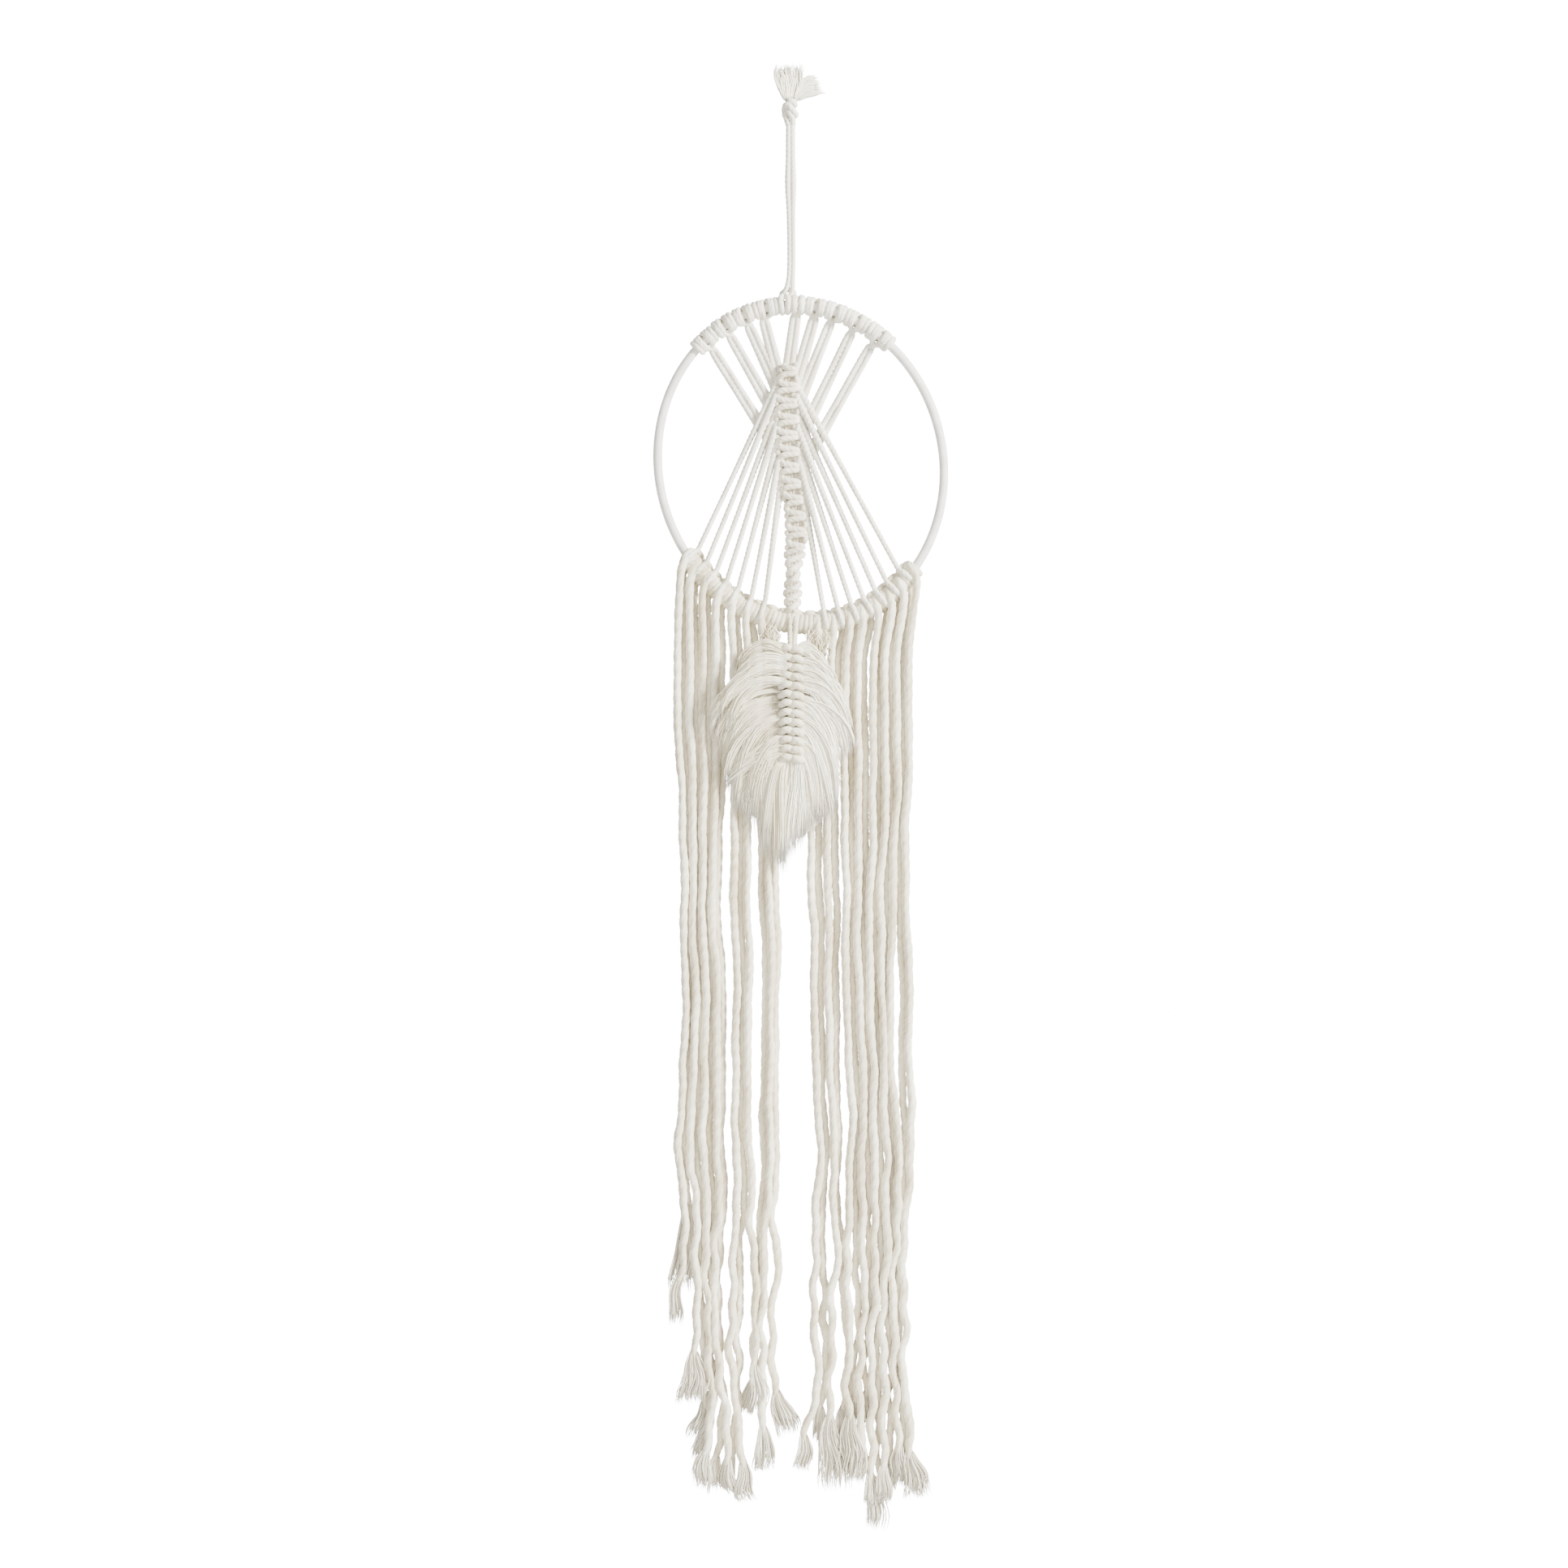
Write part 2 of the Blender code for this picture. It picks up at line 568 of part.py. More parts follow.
def fringe_radii(points, tuft_length, tuft_half):
    """The cord's radius along its route, opening out over the brushed end."""
    radii = []
    tip_z = points[-1].z
    for point in points:
        share = 1.0 - min(1.0, (point.z - tip_z) / tuft_length)
        widest = 1.0 - abs(share - 0.7) / 0.7 if share < 0.7 else 1.0 - (share - 0.7) / 0.3 * (
            1.0 - TUFT_NARROW
        )
        radii.append(FRINGE_CORD / 2 + (tuft_half - FRINGE_CORD / 2) * max(widest, 0.0))
    return radii


def make_fringe(material, parts, cutters):
    """One comb: the band of knots round the lower arc, and a tooth for each cord."""
    meshes = [sleeve_mesh("fringe", FRINGE_BAND[0], FRINGE_BAND[1], upper=False)]
    for index, row in enumerate(FRINGE):
        tuft_length, tuft_half = row[6], row[7]
        points = fringe_route(index, row)
        tuft_top = points[-1] + (points[-2] - points[-1]).normalized() * tuft_length
        tuft_wide = points[-1].lerp(tuft_top, 0.3)
        points = [p for p in points[:-1] if p.z > tuft_top.z + 4.0]
        points += [tuft_top, tuft_wide, Vector((row[4], row[1], row[5]))]
        radii = fringe_radii(points, tuft_length, tuft_half)
        meshes.append(curve_mesh(row[0], points, radii, 1))
    add_piece("fringe", joined("fringe", meshes, cutters), material, parts)


def make_leaf(material, parts, cutters):
    """The brushed leaf, with a slot for its knotted rib, and the rib."""
    rings = []
    for z, left, right, depth, thick in LEAF_SECTIONS:
        middle = Vector(((left + right) / 2, depth, z))
        rings.append(oval_ring(middle, (right - left) / 2, thick, 12))
    slot = []
    rib = []
    for z, x, depth, wide, deep in RIB_SECTIONS:
        middle = Vector((x, depth, z))
        rib.append(oval_ring(middle, wide, deep, 10))
        slot.append(oval_ring(middle, wide + GAP * 1.2, deep + GAP * 2, 10))
    slot[0] = [point + Vector((0.0, 0.0, 2.0)) for point in slot[0]]
    slot[-1] = [point - Vector((0.0, 0.0, GAP)) for point in slot[-1]]
    leaf = cut_away("leaf", loft("leaf", rings), loft("slot", slot), cutters)
    add_piece("leaf", leaf, material, parts)
    add_piece("leaf_rib", loft("leaf_rib", rib), material, parts)


def main():
    clear_scene()
    parts = make_collection(PARTS)
    cutters = make_collection(CUTTERS)
    cotton = make_material("cotton_cord", (0.80, 0.77, 0.70), 0.9)
    hoop_paint = make_material("hoop_paint", (0.82, 0.80, 0.75), 0.5)
    make_hoop(hoop_paint, parts)
    make_hanger(cotton, parts, cutters)
    make_web(cotton, parts, cutters)
    make_spine(cotton, parts)
    make_fan(cotton, parts)
    make_fringe(cotton, parts, cutters)
    make_leaf(cotton, parts, cutters)


main()
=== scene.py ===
"""A white cotton dreamcatcher: painted hoop, knotted web, brushed leaf and long fringe.

All sizes and tables are in millimetres, unless a comment says otherwise. +X is to the viewer's
right and +Z up, the face looks along -Y, and the origin is the eye of the hanger's loop.
"""

import math

import bmesh
import bpy
import numpy as np
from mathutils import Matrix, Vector


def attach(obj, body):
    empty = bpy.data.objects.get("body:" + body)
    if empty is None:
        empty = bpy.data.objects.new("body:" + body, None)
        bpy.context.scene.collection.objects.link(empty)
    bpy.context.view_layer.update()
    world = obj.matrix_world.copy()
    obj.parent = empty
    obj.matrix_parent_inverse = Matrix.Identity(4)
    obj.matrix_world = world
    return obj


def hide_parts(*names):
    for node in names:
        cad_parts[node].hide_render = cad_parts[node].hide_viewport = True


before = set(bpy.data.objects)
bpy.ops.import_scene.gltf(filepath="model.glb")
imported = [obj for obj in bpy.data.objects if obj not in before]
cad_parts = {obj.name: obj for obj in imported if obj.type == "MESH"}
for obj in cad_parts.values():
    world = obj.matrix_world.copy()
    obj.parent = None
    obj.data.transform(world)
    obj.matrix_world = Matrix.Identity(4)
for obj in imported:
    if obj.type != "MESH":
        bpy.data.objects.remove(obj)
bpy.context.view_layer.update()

MM = 0.001
TURN = 2 * math.pi
BACKWARD = np.array((0.0, 1.0, 0.0))
rng = np.random.default_rng(11)

# --- camera, light and floor, in metres and watts ---

SENSOR_MM = 36.0
LENS_MM = 111.8
CAMERA_PLACE = (-0.004, -3.0, -0.407)
CAMERA_REACH = 30.0
ROOM_COLOUR = (1.0, 0.995, 0.98, 1.0)
ROOM_LIGHT = 1.0
WALL_COLOUR = (1.0, 1.0, 1.0, 1.0)
WALL_LIGHT = 16.5
# name, place, size, power
LAMPS = (
    ("key", (2.4, -1.5, 0.8), 0.7, 480.0),
    ("fill", (-0.6, -2.8, -0.3), 1.8, 45.0),
)
LAMP_AIM = Vector((0.0, 0.0, -0.4))
FLOOR_RADIUS = 1.1
FLOOR_LEVEL = -1.1
FLOOR_CORNERS = 96
FLOOR_COLOUR = (0.9, 0.9, 0.9, 1.0)


def add_object(name, data):
    """A new object in the scene."""
    item = bpy.data.objects.new(name, data)
    bpy.context.scene.collection.objects.link(item)
    return item


def set_camera():
    lens = bpy.data.cameras.new("camera")
    lens.sensor_width = SENSOR_MM
    lens.lens = LENS_MM
    lens.clip_end = CAMERA_REACH
    camera = add_object("camera", lens)
    camera.location = CAMERA_PLACE
    camera.rotation_euler = (math.radians(90.0), 0.0, 0.0)
    bpy.context.scene.camera = camera


def set_light():
    """A white room: bright behind the piece, softer as light on it, and a key from the right."""
    world = bpy.data.worlds.new("studio")
    world.use_nodes = True
    nodes, links = world.node_tree.nodes, world.node_tree.links
    glow, wall = nodes["Background"], nodes.new("ShaderNodeBackground")
    for node, colour, power in ((glow, ROOM_COLOUR, ROOM_LIGHT), (wall, WALL_COLOUR, WALL_LIGHT)):
        node.inputs["Color"].default_value = colour
        node.inputs["Strength"].default_value = power
    path = nodes.new("ShaderNodeLightPath")
    mix = nodes.new("ShaderNodeMixShader")
    links.new(path.outputs["Is Camera Ray"], mix.inputs["Fac"])
    links.new(glow.outputs["Background"], mix.inputs[1])
    links.new(wall.outputs["Background"], mix.inputs[2])
    links.new(mix.outputs["Shader"], nodes["World Output"].inputs["Surface"])
    bpy.context.scene.world = world
    for name, place, size, power in LAMPS:
        light = bpy.data.lights.new(name, "AREA")
        light.size = size
        light.energy = power
        lamp = add_object(name, light)
        lamp.location = place
        aim = LAMP_AIM - Vector(place)
        lamp.rotation_euler = aim.to_track_quat("-Z", "Y").to_euler()


def set_floor():
    shape = bmesh.new()
    bmesh.ops.create_circle(shape, cap_ends=True, segments=FLOOR_CORNERS, radius=FLOOR_RADIUS)
    for vert in shape.verts:
        vert.co.z += FLOOR_LEVEL
    mesh = bpy.data.meshes.new("floor")
    shape.to_mesh(mesh)
    shape.free()
    paper, _, shader = new_finish("white_paper", 1.0, 0.0, 0.5)
    shader.inputs["Base Color"].default_value = FLOOR_COLOUR
    mesh.materials.append(paper)
    add_object("floor", mesh)


# --- finishes ---

# Streaks round a cord, streaks to a centimetre along it, and how high they stand
CORD_STREAKS = (26.0, 2.2, 0.4)
FIBRE_STREAKS = (5.0, 1.0, 0.1)
# name, dark tone, light tone, streaks, fuzz
COTTONS = (
    ("cotton_cord_finish", (0.52, 0.44, 0.28), (0.94, 0.885, 0.70), CORD_STREAKS, 0.3),
    ("brushed_cotton", (0.70, 0.59, 0.37), (0.97, 0.91, 0.69), FIBRE_STREAKS, 0.7),
    # A lighter copy of the brushed cotton, which is painted light: on the leaf's right half, lit
    # from the right, and on the hanger's tails.
    ("painted_lit_cotton", (0.90, 0.81, 0.60), (1.0, 0.965, 0.79), FIBRE_STREAKS, 0.7),
    # A darker copy, which is painted shade: on the fringe's brushed ends, and on the leaf's body
    # where it shows between the fibres.
    ("painted_shade_cotton", (0.55, 0.48, 0.34), (0.82, 0.77, 0.62), FIBRE_STREAKS, 0.4),
    ("pale_cotton_finish", (0.70, 0.64, 0.49), (1.0, 0.965, 0.83), CORD_STREAKS, 0.3),
    ("knot_cotton_finish", (0.64, 0.56, 0.40), (0.98, 0.93, 0.76), CORD_STREAKS, 0.3),
)
COTTON_TONE_SCALE = (170.0, 60.0, 16.0)  # patches to a metre: slow down the cords, quick across
PAINT_DARK = (0.64, 0.61, 0.54)
PAINT_LIGHT = (0.80, 0.78, 0.72)
PAINT_SCALE = 120.0


def new_finish(name, roughness, sheen, shine):
    finish = bpy.data.materials.new(name)
    finish.use_nodes = True
    shader = finish.node_tree.nodes["Principled BSDF"]
    shader.inputs["Roughness"].default_value = roughness
    shader.inputs["Sheen Weight"].default_value = sheen
    shader.inputs["Sheen Roughness"].default_value = 0.6
    shader.inputs["Specular IOR Level"].default_value = shine
    return finish, finish.node_tree, shader


def add_node(tree, kind, source, socket, **values):
    """A new shader node, fed from a source through one socket, with values on its others."""
    node = tree.nodes.new("ShaderNode" + kind)
    for name, value in values.items():
        node.inputs[name].default_value = value
    tree.links.new(source, node.inputs[socket])
    return node


def noise(tree, places, scale, detail):
    return add_node(tree, "TexNoise", places, "Vector", Scale=scale, Detail=detail).outputs["Fac"]


def halved(tree, value, more=None):
    """Half of this value, and some more."""
    node = tree.nodes.new("ShaderNodeMath")
    node.operation = "MULTIPLY_ADD" if more else "MULTIPLY"
    node.inputs[1].default_value = 0.5
    tree.links.new(value, node.inputs[0])
    if more:
        tree.links.new(more, node.inputs[2])
    return node.outputs["Value"]


def colour_by(tree, shader, value, dark, light):
    """Colours the shader between two tones. dark and light hold a value and its colour."""
    ramp = add_node(tree, "ValToRGB", value, "Fac")
    for element, (position, colour) in zip(ramp.color_ramp.elements, (dark, light)):
        element.position = position
        element.color = (*colour, 1.0)
    tree.links.new(ramp.outputs["Color"], shader.inputs["Base Color"])


def raise_by(tree, shader, value, strength, height):
    raised = add_node(tree, "Bump", value, "Height", Strength=strength, Distance=height * MM)
    tree.links.new(raised.outputs["Normal"], shader.inputs["Normal"])


def cotton_finish(name, dark, light, streaks, fuzz):
    """Spun cotton: pale streaks that run with the fibres, and a slow change of tone."""
    around, along, height = streaks
    finish, tree, shader = new_finish(name, 0.92, fuzz, 0.15)
    lay = tree.nodes.new("ShaderNodeUVMap")
    lay.uv_map = "lay"
    with_fibres = add_node(tree, "Mapping", lay.outputs["UV"], "Vector", Scale=(around, along, 1.0))
    streak = noise(tree, with_fibres.outputs["Vector"], 1.0, 4.0)
    place = tree.nodes.new("ShaderNodeTexCoord")
    long_way = add_node(tree, "Mapping", place.outputs["Object"], "Vector", Scale=COTTON_TONE_SCALE)
    tone = noise(tree, long_way.outputs["Vector"], 1.0, 2.0)
    mean = halved(tree, streak, halved(tree, tone))
    colour_by(tree, shader, mean, (0.36, dark), (0.62, light))
    raise_by(tree, shader, streak, 0.8, height)
    return finish


def paint_finish():
    """Off-white paint on a smooth rod, a little uneven."""
    finish, tree, shader = new_finish("hoop_paint_finish", 0.5, 0.0, 0.4)
    place = tree.nodes.new("ShaderNodeTexCoord")
    tone = noise(tree, place.outputs["Object"], PAINT_SCALE, 5.0)
    colour_by(tree, shader, tone, (0.3, PAINT_DARK), (0.7, PAINT_LIGHT))
    raise_by(tree, shader, tone, 0.4, 0.15)
    return finish


# --- routes ---

RING_STEP = 0.95  # between the rings of a cord's skin
FINE_STEP = 0.5
ROUNDING_PASSES = 3


def soft(points, reach):
    """Rounds the corners of an even row of points and keeps its two ends."""
    points = np.asarray(points, float)
    for _ in range(ROUNDING_PASSES):
        reach = min(reach, (len(points) - 1) // 2)
        if reach < 1:
            break
        head = 2 * points[0] - points[reach:0:-1]
        tail = 2 * points[-1] - points[-2 : -reach - 2 : -1]
        longer = np.vstack([head, points, tail])
        total = np.cumsum(np.vstack([np.zeros(points.shape[1]), longer]), axis=0)
        width = 2 * reach + 1
        points = (total[width:] - total[:-width]) / width
    return points


def distances(points):
    """How far along its line each point lies."""
    runs = np.linalg.norm(np.diff(points, axis=0), axis=1)
    return np.concatenate(([0.0], np.cumsum(runs)))


def line_length(points):
    return float(np.linalg.norm(np.diff(points, axis=0), axis=1).sum())


def even(points, step):
    """The same line with points a step apart."""
    points = np.asarray(points, float)
    along = distances(points)
    count = max(2, int(round(along[-1] / step)) + 1)
    spots = np.linspace(0.0, along[-1], count)
    return np.stack([np.interp(spots, along, points[:, i]) for i in range(3)], axis=1)


def eased(points, round_off):
    """A smooth line through about these points, whose corners are rounded over this length."""
    return even(soft(even(points, FINE_STEP), int(round_off / 1.5)), RING_STEP)


def at_spots(points, spots):
    """The places on a row of points at these counts along it, which needn't be whole."""
    return np.stack([np.interp(spots, range(len(points)), points[:, i]) for i in range(3)], axis=1)


def between_rows(rows, place):
    """The values of a table at a place between its rows, whose first column falls."""
    rows = np.asarray(rows, float)[::-1]
    place = np.asarray(place, float)
    return [np.interp(place, rows[:, 0], rows[:, i]) for i in range(1, rows.shape[1])]


def frames(points):
    """For each point of a line: two ways across it, without any twist."""
    ahead = np.gradient(points, axis=0)
    ahead /= np.linalg.norm(ahead, axis=1)[:, None]
    start = np.cross(ahead[0], BACKWARD)
    if np.linalg.norm(start) < 0.3:
        start = np.cross(ahead[0], (1.0, 0.0, 0.0))
    across = Vector(start).normalized()
    side = np.empty_like(ahead)
    for i, way in enumerate(ahead):
        way = Vector(way)
        across = (across - way * across.dot(way)).normalized()
        side[i] = across
    return side, np.cross(ahead, side)


# --- skins ---

CORD_SIDES = 12
PLIES = 3
TWIST_PITCH = 9.5
GROOVE = 0.17  # how deep the grooves between the plies are, as a share of the cord's half width
FIBRE_SIDES = 3
FIBRE_POINTS = 8
ALONG_FIBRE = np.linspace(0.0, 1.0, FIBRE_POINTS)


def rolled(places, length):
    """A sheet rolled into a tube over rows of places round it. Its map's V runs in centimetres
    along this length."""
    rows, columns = len(places) - 1, places.shape[1] - 1
    sheet = bmesh.new()
    sheet.loops.layers.uv.new("lay")
    bmesh.ops.create_grid(sheet, x_segments=columns, y_segments=rows, size=0.5, calc_uvs=True)
    mesh = bpy.data.meshes.new("sheet")
    sheet.to_mesh(mesh)
    sheet.free()
    # The last place of a row is the first again. The sheet's points come row by row too.
    places[:, columns] = places[:, 0]
    mesh.vertices.foreach_set("co", (places * MM).astype(np.float32).ravel())
    uv = np.empty(len(mesh.loops) * 2, np.float32)
    mesh.uv_layers[0].data.foreach_get("uv", uv)
    uv = uv.reshape(-1, 2)
    uv[:, 1] *= length / 10.0
    mesh.uv_layers[0].data.foreach_set("uv", uv.ravel())
    return mesh


def circle(sides):
    """The angles of a ring's points. The last one is the first again."""
    return TURN * np.arange(sides + 1) / sides


def rings(line, side, over, angle, reach):
    """A ring of places round each point of a line."""
    return (
        line[..., None, :]
        + side[..., None, :] * (np.cos(angle) * reach)[..., None]
        + over[..., None, :] * (np.sin(angle) * reach)[..., None]
    )


def twisted(route, thick, pitch=TWIST_PITCH, groove=GROOVE, start=0.0, swell=None):
    """The skin of one twisted cord along a route: a lobed section that turns as it goes."""
    count = len(route)
    side, over = frames(route)
    along = np.arange(count) * (line_length(route) / (count - 1))
    turn = start + TURN * along / pitch
    angle = circle(CORD_SIDES)
    # The map's seam lies in a groove.
    lobe = 1.0 - groove * (0.5 + 0.5 * np.cos(PLIES * angle)) ** 1.5
    half = np.full(count, thick / 2)
    if swell is not None:
        half = half * swell
    # The ends are rounded off.
    ends = np.minimum(along, along[-1] - along)
    half = half * np.sqrt(np.clip(ends / (thick * 0.4), 0.12, 1.0))
    places = rings(route, side, over, turn[:, None] + angle, half[:, None] * lobe)
    return rolled(places, along[-1])


def hairs(lines, thick):
    """The skin of many fine fibres, each a slim three-sided needle. lines is an array of
    fibre, point along it, and place."""
    count, points = lines.shape[:2]
    ahead = np.gradient(lines, axis=1)
    ahead /= np.linalg.norm(ahead, axis=2)[..., None] + 1e-9
    # Nearly the way back, but never quite along a fibre
    side = np.cross(ahead, np.array((0.03, 1.0, 0.02)))
    side /= np.linalg.norm(side, axis=2)[..., None] + 1e-9
    over = np.cross(ahead, side)
    spot = np.linspace(0.0, 1.0, points)
    half = thick / 2 * np.clip(np.sin(math.pi * (0.12 + 0.88 * spot)) + 0.35, 0.0, 1.0)
    half[0] = 0.0
    half[-1] = 0.0
    half = half[None, :] * rng.uniform(0.7, 1.25, (count, 1))
    places = rings(lines, side, over, circle(FIBRE_SIDES) + 0.5, half[..., None])
    places = places.reshape(count * points, FIBRE_SIDES + 1, 3)
    mesh = rolled(places, count * line_length(lines[0]))
    shape = bmesh.new()
    shape.from_mesh(mesh)
    # The strips between one fibre's end and the next one's start go. Faces come row by row.
    last = points - 1
    between = [face for face in shape.faces if face.index // FIBRE_SIDES % points == last]
    bmesh.ops.delete(shape, geom=between, context="FACES")
    shape.to_mesh(mesh)
    shape.free()
    return mesh


def close_up(shape):
    """Welds seams, closes open ends and turns the faces outwards."""
    bmesh.ops.remove_doubles(shape, verts=shape.verts, dist=1e-7)
    open_edges = [edge for edge in shape.edges if edge.is_boundary]
    if open_edges:
        bmesh.ops.holes_fill(shape, edges=open_edges, sides=0)
    bmesh.ops.recalc_face_normals(shape, faces=shape.faces)


def make_piece(name, skins, finish, node):
    """One piece from the skins of its cords. It stands for a node of the part."""
    shape = bmesh.new()
    for skin in skins:
        shape.from_mesh(skin)
        bpy.data.meshes.remove(skin)
    close_up(shape)
    mesh = bpy.data.meshes.new(name)
    shape.to_mesh(mesh)
    shape.free()
    mesh.shade_smooth()
    mesh.materials.append(finish)
    piece = add_object(name, mesh)
    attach(piece, "root")
    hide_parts(node)
    return piece


def numbered(name, rows):
    """Each row with its name, which ends in its number from 1."""
    return [(f"{name}_{i + 1}", row) for i, row in enumerate(rows)]


# --- hoop ---

HOOP_ROD = 5.5
HOOP_HALF_WIDE = 87.6
HOOP_HALF_TALL = 98.85
HOOP_TILT = math.radians(12.8)
HOOP_CENTRE = np.array((6.3, 0.0, -210.3))
HOOP_RINGS = 300
HOOP_SIDES = 20
CORD = 3.2
WRAP = 4.4  # from the rod's middle to the middle of a cord wrapped round it
WRAP_PITCH = 2.9
WRAP_STEPS = 8  # rows of a table for each wrap
STEP_DEGREES = 45.0
ROWS_BETWEEN = 10


def hoop_point(angle, out=0.0, depth=0.0):
    """Points on the oval. out moves them away from its middle, depth moves them back."""
    angle = np.asarray(angle, float)
    across = np.array((math.cos(HOOP_TILT), 0.0, math.sin(HOOP_TILT)))
    upward = np.array((-math.sin(HOOP_TILT), 0.0, math.cos(HOOP_TILT)))
    cos, sin = np.cos(angle)[..., None], np.sin(angle)[..., None]
    point = across * HOOP_HALF_WIDE * cos + upward * HOOP_HALF_TALL * sin
    normal = across * cos / HOOP_HALF_WIDE + upward * sin / HOOP_HALF_TALL
    normal /= np.linalg.norm(normal, axis=-1, keepdims=True)
    out = np.asarray(out, float)[..., None]
    depth = np.asarray(depth, float)[..., None]
    return HOOP_CENTRE + point + normal * out + BACKWARD * depth


def hoop_angle(x, upper):
    """The angle on the upper or lower arc at which the oval has this x."""
    wide = HOOP_HALF_WIDE * math.cos(HOOP_TILT)
    tall = HOOP_HALF_TALL * math.sin(HOOP_TILT)
    turn = math.acos((x - HOOP_CENTRE[0]) / math.hypot(wide, tall))
    return (turn if upper else -turn) - math.atan2(tall, wide)


ARC_ANGLES = np.linspace(-TURN, TURN, 4001)
ARC_PLACES = distances(hoop_point(ARC_ANGLES))


def arc_place(x, upper):
    """How far along the rod, in millimetres, the oval has this x."""
    return float(np.interp(hoop_angle(x, upper), ARC_ANGLES, ARC_PLACES))


def round_rod(rows, place=0.0, soften=4):
    """A route wound on the rod. Each row is a place along it, a turn in degrees and a reach
    from the rod's middle. Turn 0 is the front, 90 the outside, 180 the back, 270 the inside."""
    rows = np.asarray(rows, float)
    count = (len(rows) - 1) * ROWS_BETWEEN + 1
    rows = soft(at_spots(rows, np.linspace(0, len(rows) - 1, count)), soften)
    angle = np.interp(rows[:, 0] + place, ARC_PLACES, ARC_ANGLES)
    turn = np.radians(rows[:, 1])
    return hoop_point(angle, out=rows[:, 2] * np.sin(turn), depth=-rows[:, 2] * np.cos(turn))


def make_hoop(finish):
    """The rod, a hair uneven along its length."""
    angle = np.linspace(0.0, TURN, HOOP_RINGS + 1)
    route = hoop_point(angle)
    outer = hoop_point(angle, out=1.0) - route
    half = HOOP_ROD / 2 * (1.0 + 0.012 * np.sin(5 * angle) + 0.008 * np.sin(11 * angle + 1.0))
    places = rings(route, outer, BACKWARD, circle(HOOP_SIDES), half[:, None])
    places[HOOP_RINGS] = places[0]
    skin = rolled(places, line_length(route))
    make_piece("painted_hoop", [skin], finish, "hoop")


# --- hanger ---

HANGER_CORD = 2.9
HANGER_GROOVE = 0.12
# The two strands of the loop as they go down. z, left x, right x
HANGER_ROUTE = (
    (0.5, -1.1, 1.1),
    (-8, -1.25, 1.25),
    (-22, -1.3, 1.3),
    (-32, -1.6, 1.6),
    (-42, -1.5, 1.7),
    (-54, -0.9, 1.4),
    (-70, -0.6, 1.5),
    (-84, -0.5, 1.6),
    (-94, -0.8, 1.4),
    (-98.5, -1.5, 1.2),
)
# How each strand goes on round the rod, where it is worked over the other one. Place along the
# rod away from the middle of the two, turn, reach
HANGER_TURNS = (
    (1.9, 120, 4.6),
    (1.8, 180, WRAP),
    (1.8, 270, WRAP),
    (1.9, 330, WRAP),
    (2.6, 380, WRAP + 0.4),
    (2.4, 415, WRAP + 1),
    (1.2, 436, WRAP + 1.4),
    (0, 440, WRAP + 1.5),
)
HANGER_ENDS = (-6.9, -0.3)  # x of the ends of its turns on the rod
# How many times HANGER_CORD a strand is thick, by the length of it that has gone by
HANGER_GONE = (0, 25, 37, 50, 70, 98, 106, 112, 400)
HANGER_SWELL = (1.25, 1.27, 1.45, 1.22, 1.12, 1.15, 1.1, 1.45, 1.45)
# The short bar behind the strands, on top of the rod
HANGER_BAR = (
    (-6.5, 3, -106),
    (-4, 4.2, -103.2),
    (-0.8, 3.8, -101.6),
    (1.6, 4, -103.2),
    (3, 3, -106),
)
# The overhand knot: its left strand goes round in front, its right one behind.
KNOT_LEFT = (
    (-1.2, 0, -2.5),
    (-1.7, 0.2, 1),
    (-3.5, 0, 5),
    (-3.8, -0.8, 9.5),
    (-2.6, -2.6, 12),
    (0.4, -3.4, 9),
    (3.2, -2.4, 5.6),
    (3.4, 0.6, 4.4),
    (0.6, 2.8, 6),
    (-1.6, 2.4, 10),
    (-1.4, 0.8, 14.5),
    (-1.5, 0, 19),
)
KNOT_RIGHT = (
    (1.2, 0, -2.5),
    (1.6, -0.2, 1),
    (0.9, -1.8, 4.5),
    (-1.5, -2.6, 7),
    (-2.8, 0.4, 8),
    (-0.6, 2.6, 9.5),
    (2.8, 1.4, 11),
    (2.6, -1.6, 12.8),
    (-0.6, -1.8, 14),
    (-1.4, 0.6, 14.6),
    (1.2, 1.4, 14.9),
    (4.5, 1.3, 16),
    (8, 1.3, 17.8),
)
TAIL_UP = ((-0.8, 0, 14), (-0.9, -0.6, 22), (-1.2, -0.6, 29), (-1.2, -0.6, 37))
TAIL_SIDE = ((3.6, 1.3, 16.4), (7.5, 1.3, 20.4), (13, 1.3, 23.4), (20, 1.3, 24.4))
# The brushed tails: node, places from the knot to the tip, half width, fibres, width at the root
TAILS = (
    ("hanger_tail_up", TAIL_UP, 7.6, 460, HANGER_CORD + 4.0),
    ("hanger_tail_side", TAIL_SIDE, 5.4, 360, HANGER_CORD + 3.0),
)
TAIL_LOOSE = 0.6
TUFT_FIBRE = 0.75


